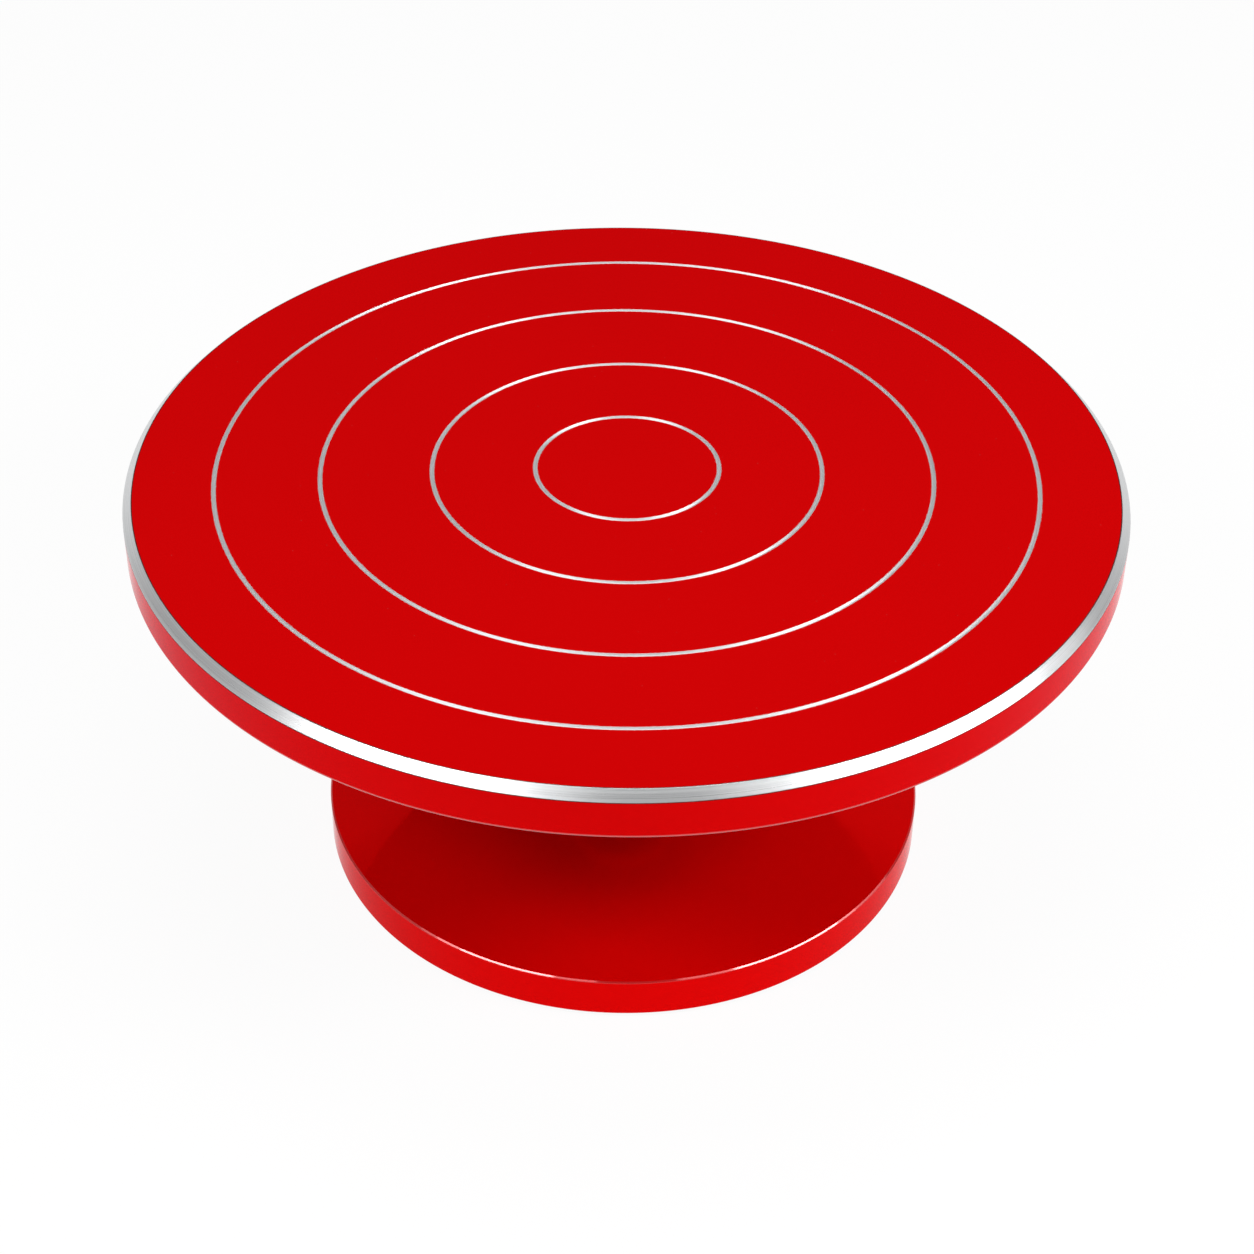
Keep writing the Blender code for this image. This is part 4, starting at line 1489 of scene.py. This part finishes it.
@dataclass
class Bearing(SubAssembly):
    """A shielded ball bearing: two races, two shields, and balls in a crown cage."""

    finishes: FinishSet
    name: str
    ball_body: Body
    bore: float = 10 * MM
    race_edge: float = 0.8 * MM
    land_edge: float = 0.2 * MM
    outer_land: float = 20.4 * MM
    pitch_radius: float = 16.75 * MM
    ball_count: int = 8
    ball_radius: float = 3.97 * MM
    ball_play: float = 0.35 * MM
    track_arc: float = 0.98  # the track's rounding, kept a little under its full radius
    cage_inner: float = 15.3 * MM
    cage_edge: float = 0.4 * MM
    shield_inner: float = 13.9 * MM
    shield_sheet: float = 0.45 * MM
    shield_step: float = 17 * MM
    shield_slope: float = 0.6 * MM
    shield_edge: float = 0.1 * MM

    def middle(self) -> float:
        """Height of the balls' middle plane."""
        low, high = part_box(f"{self.name}_outer_race")
        return (low.z + high.z) / 2

    def track(self, land: float) -> list[Corner]:
        """Corners of the ball track in a land, from top to bottom.

        Args:
            land: Radius of the land.

        Returns:
            The corners.
        """
        radius = self.ball_radius + self.ball_play
        side = math.copysign(1, land - self.pitch_radius)
        half = math.acos(abs(self.pitch_radius - land) / radius)
        lip = radius * math.sin(half)
        deepest = self.pitch_radius + side * radius / math.cos(half)
        middle = self.middle()
        bottom = Corner(deepest, middle, self.track_arc * radius)
        return [Corner(land, middle + lip), bottom, Corner(land, middle - lip)]

    def races(self) -> None:
        """Builds the races. The inner one turns with the spindle."""
        low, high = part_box(f"{self.name}_inner_race")
        land = high.x
        inner = [Corner(self.bore, high.z, self.race_edge), Corner(land, high.z, self.land_edge)]
        inner += self.track(land)
        inner += [Corner(land, low.z, self.land_edge), Corner(self.bore, low.z, self.race_edge)]
        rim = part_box(f"{self.name}_outer_race")[1].x
        outer = [Corner(rim, low.z, self.race_edge), Corner(rim, high.z, self.race_edge)]
        outer += [Corner(self.outer_land, high.z, self.land_edge), *self.track(self.outer_land)]
        outer += [Corner(self.outer_land, low.z, self.land_edge)]
        steel = [self.finishes.bearing_steel]
        self.add(f"{self.name}_inner_race", turned(inner, MEDIUM_SIDES), steel, Body.WHEEL)
        self.add(f"{self.name}_outer_race", turned(outer, MEDIUM_SIDES), steel, Body.BASE)

    def shield(self, node: str, outside: float, inside: float) -> None:
        """Builds a pressed shield, stepped inwards.

        Args:
            node: Its CAD node.
            outside: Height of its face on the bearing's outside.
            inside: Height of its face on the balls' side.
        """
        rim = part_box(node)[1].x
        inwards = math.copysign(self.shield_sheet, inside - outside)
        edge = self.shield_edge
        high = self.shield_step + self.shield_slope / 2
        low = self.shield_step - self.shield_slope / 2
        corners = [
            Corner(rim, outside, edge),
            Corner(rim, inside, edge),
            Corner(rim - self.shield_slope, inside, edge),
            Corner(rim - 2 * self.shield_slope, outside + inwards, edge),
            Corner(high, outside + inwards, edge),
            Corner(low, inside, edge),
            Corner(self.shield_inner, inside, edge),
            Corner(self.shield_inner, inside - inwards, edge),
            Corner(low, inside - inwards, edge),
            Corner(high, outside, edge),
        ]
        self.add(node, turned(corners, MEDIUM_SIDES), [self.finishes.zinc], Body.BASE)

    def ball(self, radius: float) -> BMesh:
        """A ball on the Z axis, at the height of the balls.

        Args:
            radius: Its radius.

        Returns:
            The ball.
        """
        shape = bmesh.new()
        bmesh.ops.create_uvsphere(
            shape, u_segments=SMALL_SIDES, v_segments=SMALL_SIDES // 2, radius=radius
        )
        bmesh.ops.translate(shape, vec=(0, 0, self.middle()), verts=shape.verts)
        return shape

    def ball_places(self) -> Iterator[Matrix]:
        """Where the balls sit round the spindle."""
        return around(self.ball_count, self.pitch_radius)

    def build(self) -> None:
        """Builds and dresses the bearing."""
        self.races()
        low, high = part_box(f"{self.name}_top_shield")
        self.shield(f"{self.name}_top_shield", high.z, low.z)
        low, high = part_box(f"{self.name}_bottom_shield")
        self.shield(f"{self.name}_bottom_shield", low.z, high.z)
        low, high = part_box(f"{self.name}_cage")
        cage = turned(ring(high.x, self.cage_inner, high.z, low.z, self.cage_edge), MEDIUM_SIDES)
        pockets = repeated(self.ball(self.ball_radius + self.ball_play), self.ball_places())
        cage = combined(cage, pockets, Joining.CUT)
        self.add(f"{self.name}_cage", cage, [self.finishes.nylon], self.ball_body)
        ball = self.ball(self.ball_radius)
        steel = self.finishes.bearing_steel
        self.add_copies(f"{self.name}_ball", ball, self.ball_places(), steel, self.ball_body)


@dataclass
class RetainingRing(SubAssembly):
    """A sprung ring with an opening at +X and a drilled lug on each side of it."""

    finishes: FinishSet
    node: str
    body: Body
    inner: float
    lug_pitch: float
    width: float = 3.4 * MM
    edge: float = 0.15 * MM
    lug: float = 2.3 * MM
    lug_hole: float = 0.9 * MM
    lug_thinning: float = 0.1 * MM
    opening: float = 5 * MM

    def build(self) -> None:
        """Builds and dresses the ring."""
        low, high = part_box(self.node)
        outer = self.inner + self.width
        shape = turned(ring(outer, self.inner, high.z, low.z, self.edge), MEDIUM_SIDES)
        angle = (self.opening / 2 + self.lug) / (self.inner + self.width / 2)
        turns = [Matrix.Rotation(side * angle, 4, "Z") for side in (1, -1)]
        places = [turn @ Matrix.Translation((self.lug_pitch, 0, 0)) for turn in turns]
        lug = drill(self.lug, high.z - self.lug_thinning, low.z + self.lug_thinning)
        shape = combined(shape, repeated(lug, places), Joining.JOIN)
        cuts = repeated(drill(self.lug_hole, high.z + GAP, low.z - GAP), places)
        block = Matrix.Diagonal((2 * outer, self.opening, 2 * (high.z - low.z), 1))
        ahead = Matrix.Translation((outer + outer / 2, 0, high.z))
        bmesh.ops.create_cube(cuts, size=1, matrix=ahead @ block)
        shape = combined(shape, cuts, Joining.CUT)
        self.add(self.node, shape, [self.finishes.spring_steel], self.body)


@dataclass(frozen=True)
class Direction:
    """A direction from the object: degrees right of the camera's side, and above the floor."""

    azimuth: float
    elevation: float

    def vector(self) -> Vector:
        """The direction as a unit vector.

        Returns:
            The vector.
        """
        turn = math.radians(self.azimuth)
        tilt = math.radians(self.elevation)
        flat = math.cos(tilt)
        return Vector((math.sin(turn) * flat, -math.cos(turn) * flat, math.sin(tilt)))


@dataclass(frozen=True)
class SoftBox:
    """A flat lamp that faces the object, stretched between two directions from it.

    Attributes:
        name: Its name.
        left: Where its left end is.
        right: Where its right end is.
        radiance: How bright its face is, where 1 is white.
        distance: Metres from the object to either end.
        depth: Metres across, between its long sides.
    """

    name: str
    left: Direction
    right: Direction
    radiance: float
    distance: float = 1.2
    depth: float = 0.2

    def light(self, target: Vector) -> None:
        """Adds the lamp.

        Args:
            target: The point that it faces.
        """
        start = self.left.vector() * self.distance
        end = self.right.vector() * self.distance
        middle = (start + end) / 2
        along = (end - start).normalized()
        back = (middle - along * middle.dot(along)).normalized()
        data = bpy.data.lights.new(self.name, "AREA")
        data.shape = "RECTANGLE"
        data.size = (end - start).length
        data.size_y = self.depth
        data.energy = self.radiance * math.pi * data.size * data.size_y
        lamp = bpy.data.objects.new(self.name, data)
        bpy.context.scene.collection.objects.link(lamp)
        axes = Matrix((along, back.cross(along), back)).transposed().to_4x4()
        lamp.matrix_world = Matrix.Translation(target + middle) @ axes


@dataclass
class Studio:
    """The pale floor, soft light and camera."""

    lens: float = 76.19
    sensor: float = 36.0
    stand_off: float = 662.42 * MM
    camera_height: float = 582.05 * MM
    aim_side: float = 0.56 * MM
    aim_drop: float = 60.5 * MM
    roll: float = math.radians(0.734)
    floor_half: float = 10.0
    floor_colour: float = 0.95
    floor_roughness: float = 0.9
    white_to_camera: float = 0.93
    floor_to_gloss: float = 0.95
    sky_to_gloss: float = 0.03
    sky_levels: tuple[Span, ...] = (  # degrees above the floor, and how bright it is there
        (2, 0.96), (9, 0.25), (20, 0.25), (28, 0.58), (40, 0.58), (50, 0.18)
    )
    lamp_target: Vector = field(default_factory=lambda: Vector((0, 0, 80 * MM)))
    lamps: tuple[SoftBox, ...] = (
        SoftBox("left_tail", Direction(-77, 33), Direction(-71, 35.5), 1.2),
        SoftBox("left_end", Direction(-71, 35.5), Direction(-63, 38.7), 4.5),
        SoftBox("left_panel", Direction(-63, 38.7), Direction(-27, 46.4), 12.1),
        SoftBox("left_fade", Direction(-27, 46.4), Direction(-10, 48), 1.8),
        SoftBox("right_panel", Direction(44, 42.2), Direction(84, 29.5), 14.8),
        SoftBox("right_end", Direction(84, 29.5), Direction(91, 26.5), 3.8),
        SoftBox("right_tail", Direction(91, 26.5), Direction(106, 20.5), 1.4),
        SoftBox("right_fade", Direction(24, 47.4), Direction(44, 42.2), 1.8),
        SoftBox("overhead_panel", Direction(-90, 76), Direction(90, 76), 4.2, 1.3, 0.5),
    )

    def camera(self, head_top: float) -> None:
        """Adds the camera at the photograph's angle.

        Args:
            head_top: Height of the head's top face.
        """
        data = bpy.data.cameras.new("camera")
        data.sensor_width = self.sensor
        data.lens = self.lens
        stand = Vector((0, -self.stand_off, self.camera_height))
        aim = Vector((self.aim_side, 0, head_top - self.aim_drop))
        turn = (aim - stand).to_track_quat("-Z", "Y").to_matrix().to_4x4()
        made = bpy.data.objects.new("camera", data)
        made.matrix_world = Matrix.Translation(stand) @ turn @ Matrix.Rotation(self.roll, 4, "Z")
        bpy.context.scene.collection.objects.link(made)
        bpy.context.scene.camera = made

    def seen_white(self, sheet: NodeSheet, to_gloss: float) -> NodeSocket:
        """How white the surroundings are to a ray: most to the camera, less in a reflection.

        Args:
            sheet: The nodes of the floor or the world.
            to_gloss: Share of white in a reflection.

        Returns:
            The share of white.
        """
        rays = sheet.add("ShaderNodeLightPath").outputs
        seen = sheet.math("MAXIMUM", rays["Is Camera Ray"], rays["Is Transmission Ray"])
        gloss = sheet.math("MULTIPLY", rays["Is Glossy Ray"], to_gloss)
        return sheet.math("MAXIMUM", sheet.math("MULTIPLY", seen, self.white_to_camera), gloss)

    def floor(self) -> None:
        """Adds the floor, which keeps a soft shadow."""
        shape = bmesh.new()
        bmesh.ops.create_grid(shape, x_segments=1, y_segments=1, size=self.floor_half)
        floor = plain_object("studio_floor", shape)
        paint = bpy.data.materials.new("floor_paint")
        paint.use_nodes = True
        sheet = NodeSheet(paint.node_tree)
        shader = paint.node_tree.nodes["Principled BSDF"]
        shader.inputs["Base Color"].default_value = (self.floor_colour,) * 3 + (1,)
        shader.inputs["Roughness"].default_value = self.floor_roughness
        shader.inputs["Specular IOR Level"].default_value = 0.0
        white = sheet.add("ShaderNodeEmission").outputs[0]
        share = self.seen_white(sheet, self.floor_to_gloss)
        mixed = sheet.add("ShaderNodeMixShader", {0: share, 1: shader.outputs[0], 2: white})
        sheet.feed(sheet.tree.nodes["Material Output"].inputs["Surface"], mixed.outputs[0])
        floor.data.materials.append(paint)

    def sky(self) -> None:
        """Adds the world: pale near the floor and dim overhead, and white to the camera."""
        world = bpy.data.worlds.new("studio")
        world.use_nodes = True
        bpy.context.scene.world = world
        sheet = NodeSheet(world.node_tree)
        towards = sheet.add("ShaderNodeTexCoord").outputs["Generated"]
        ramp = sheet.add("ShaderNodeValToRGB", {0: sheet.axes(towards)[2]})
        stops = ramp.color_ramp.elements
        while len(stops) < len(self.sky_levels):
            stops.new(1)
        for stop, (elevation, level) in zip(stops, self.sky_levels):
            stop.position = math.sin(math.radians(elevation))
            stop.color = (level, level, level, 1)
        white = self.seen_white(sheet, self.sky_to_gloss)
        background = world.node_tree.nodes["Background"].inputs
        sheet.feed(background["Strength"], sheet.math("MAXIMUM", ramp.outputs[0], white))
        sheet.feed(background["Color"], (1, 1, 1, 1))

    def build(self, head_top: float) -> None:
        """Adds the camera, floor, world and lamps.

        Args:
            head_top: Height of the head's top face.
        """
        self.camera(head_top)
        self.floor()
        self.sky()
        for lamp in self.lamps:
            lamp.light(self.lamp_target)
        bpy.context.scene.view_settings.view_transform = "Standard"


def main() -> None:
    """Loads the model, builds the pieces round it in order, and sets the studio."""
    logging.basicConfig(level=logging.INFO, format="%(name)s: %(message)s")
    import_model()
    finishes = FinishSet()
    head = WheelHead(finishes)
    base = BaseCasting(finishes)
    Studio().build(head.top)
    head.build()
    base.build()
    BottomFittings(finishes, base).build()
    Spindle(finishes, head).build()
    Bearing(finishes, "upper_bearing", Body.UPPER_BALLS).build()
    Bearing(finishes, "lower_bearing", Body.LOWER_BALLS).build()
    rings = (
        RetainingRing(finishes, "spindle_circlip", Body.WHEEL, inner=9.3 * MM, lug_pitch=12.7 * MM),
        RetainingRing(finishes, "housing_circlip", Body.BASE, inner=21.5 * MM, lug_pitch=21.5 * MM),
    )
    for circlip in rings:
        circlip.build()


if __name__ == "__main__":
    main()
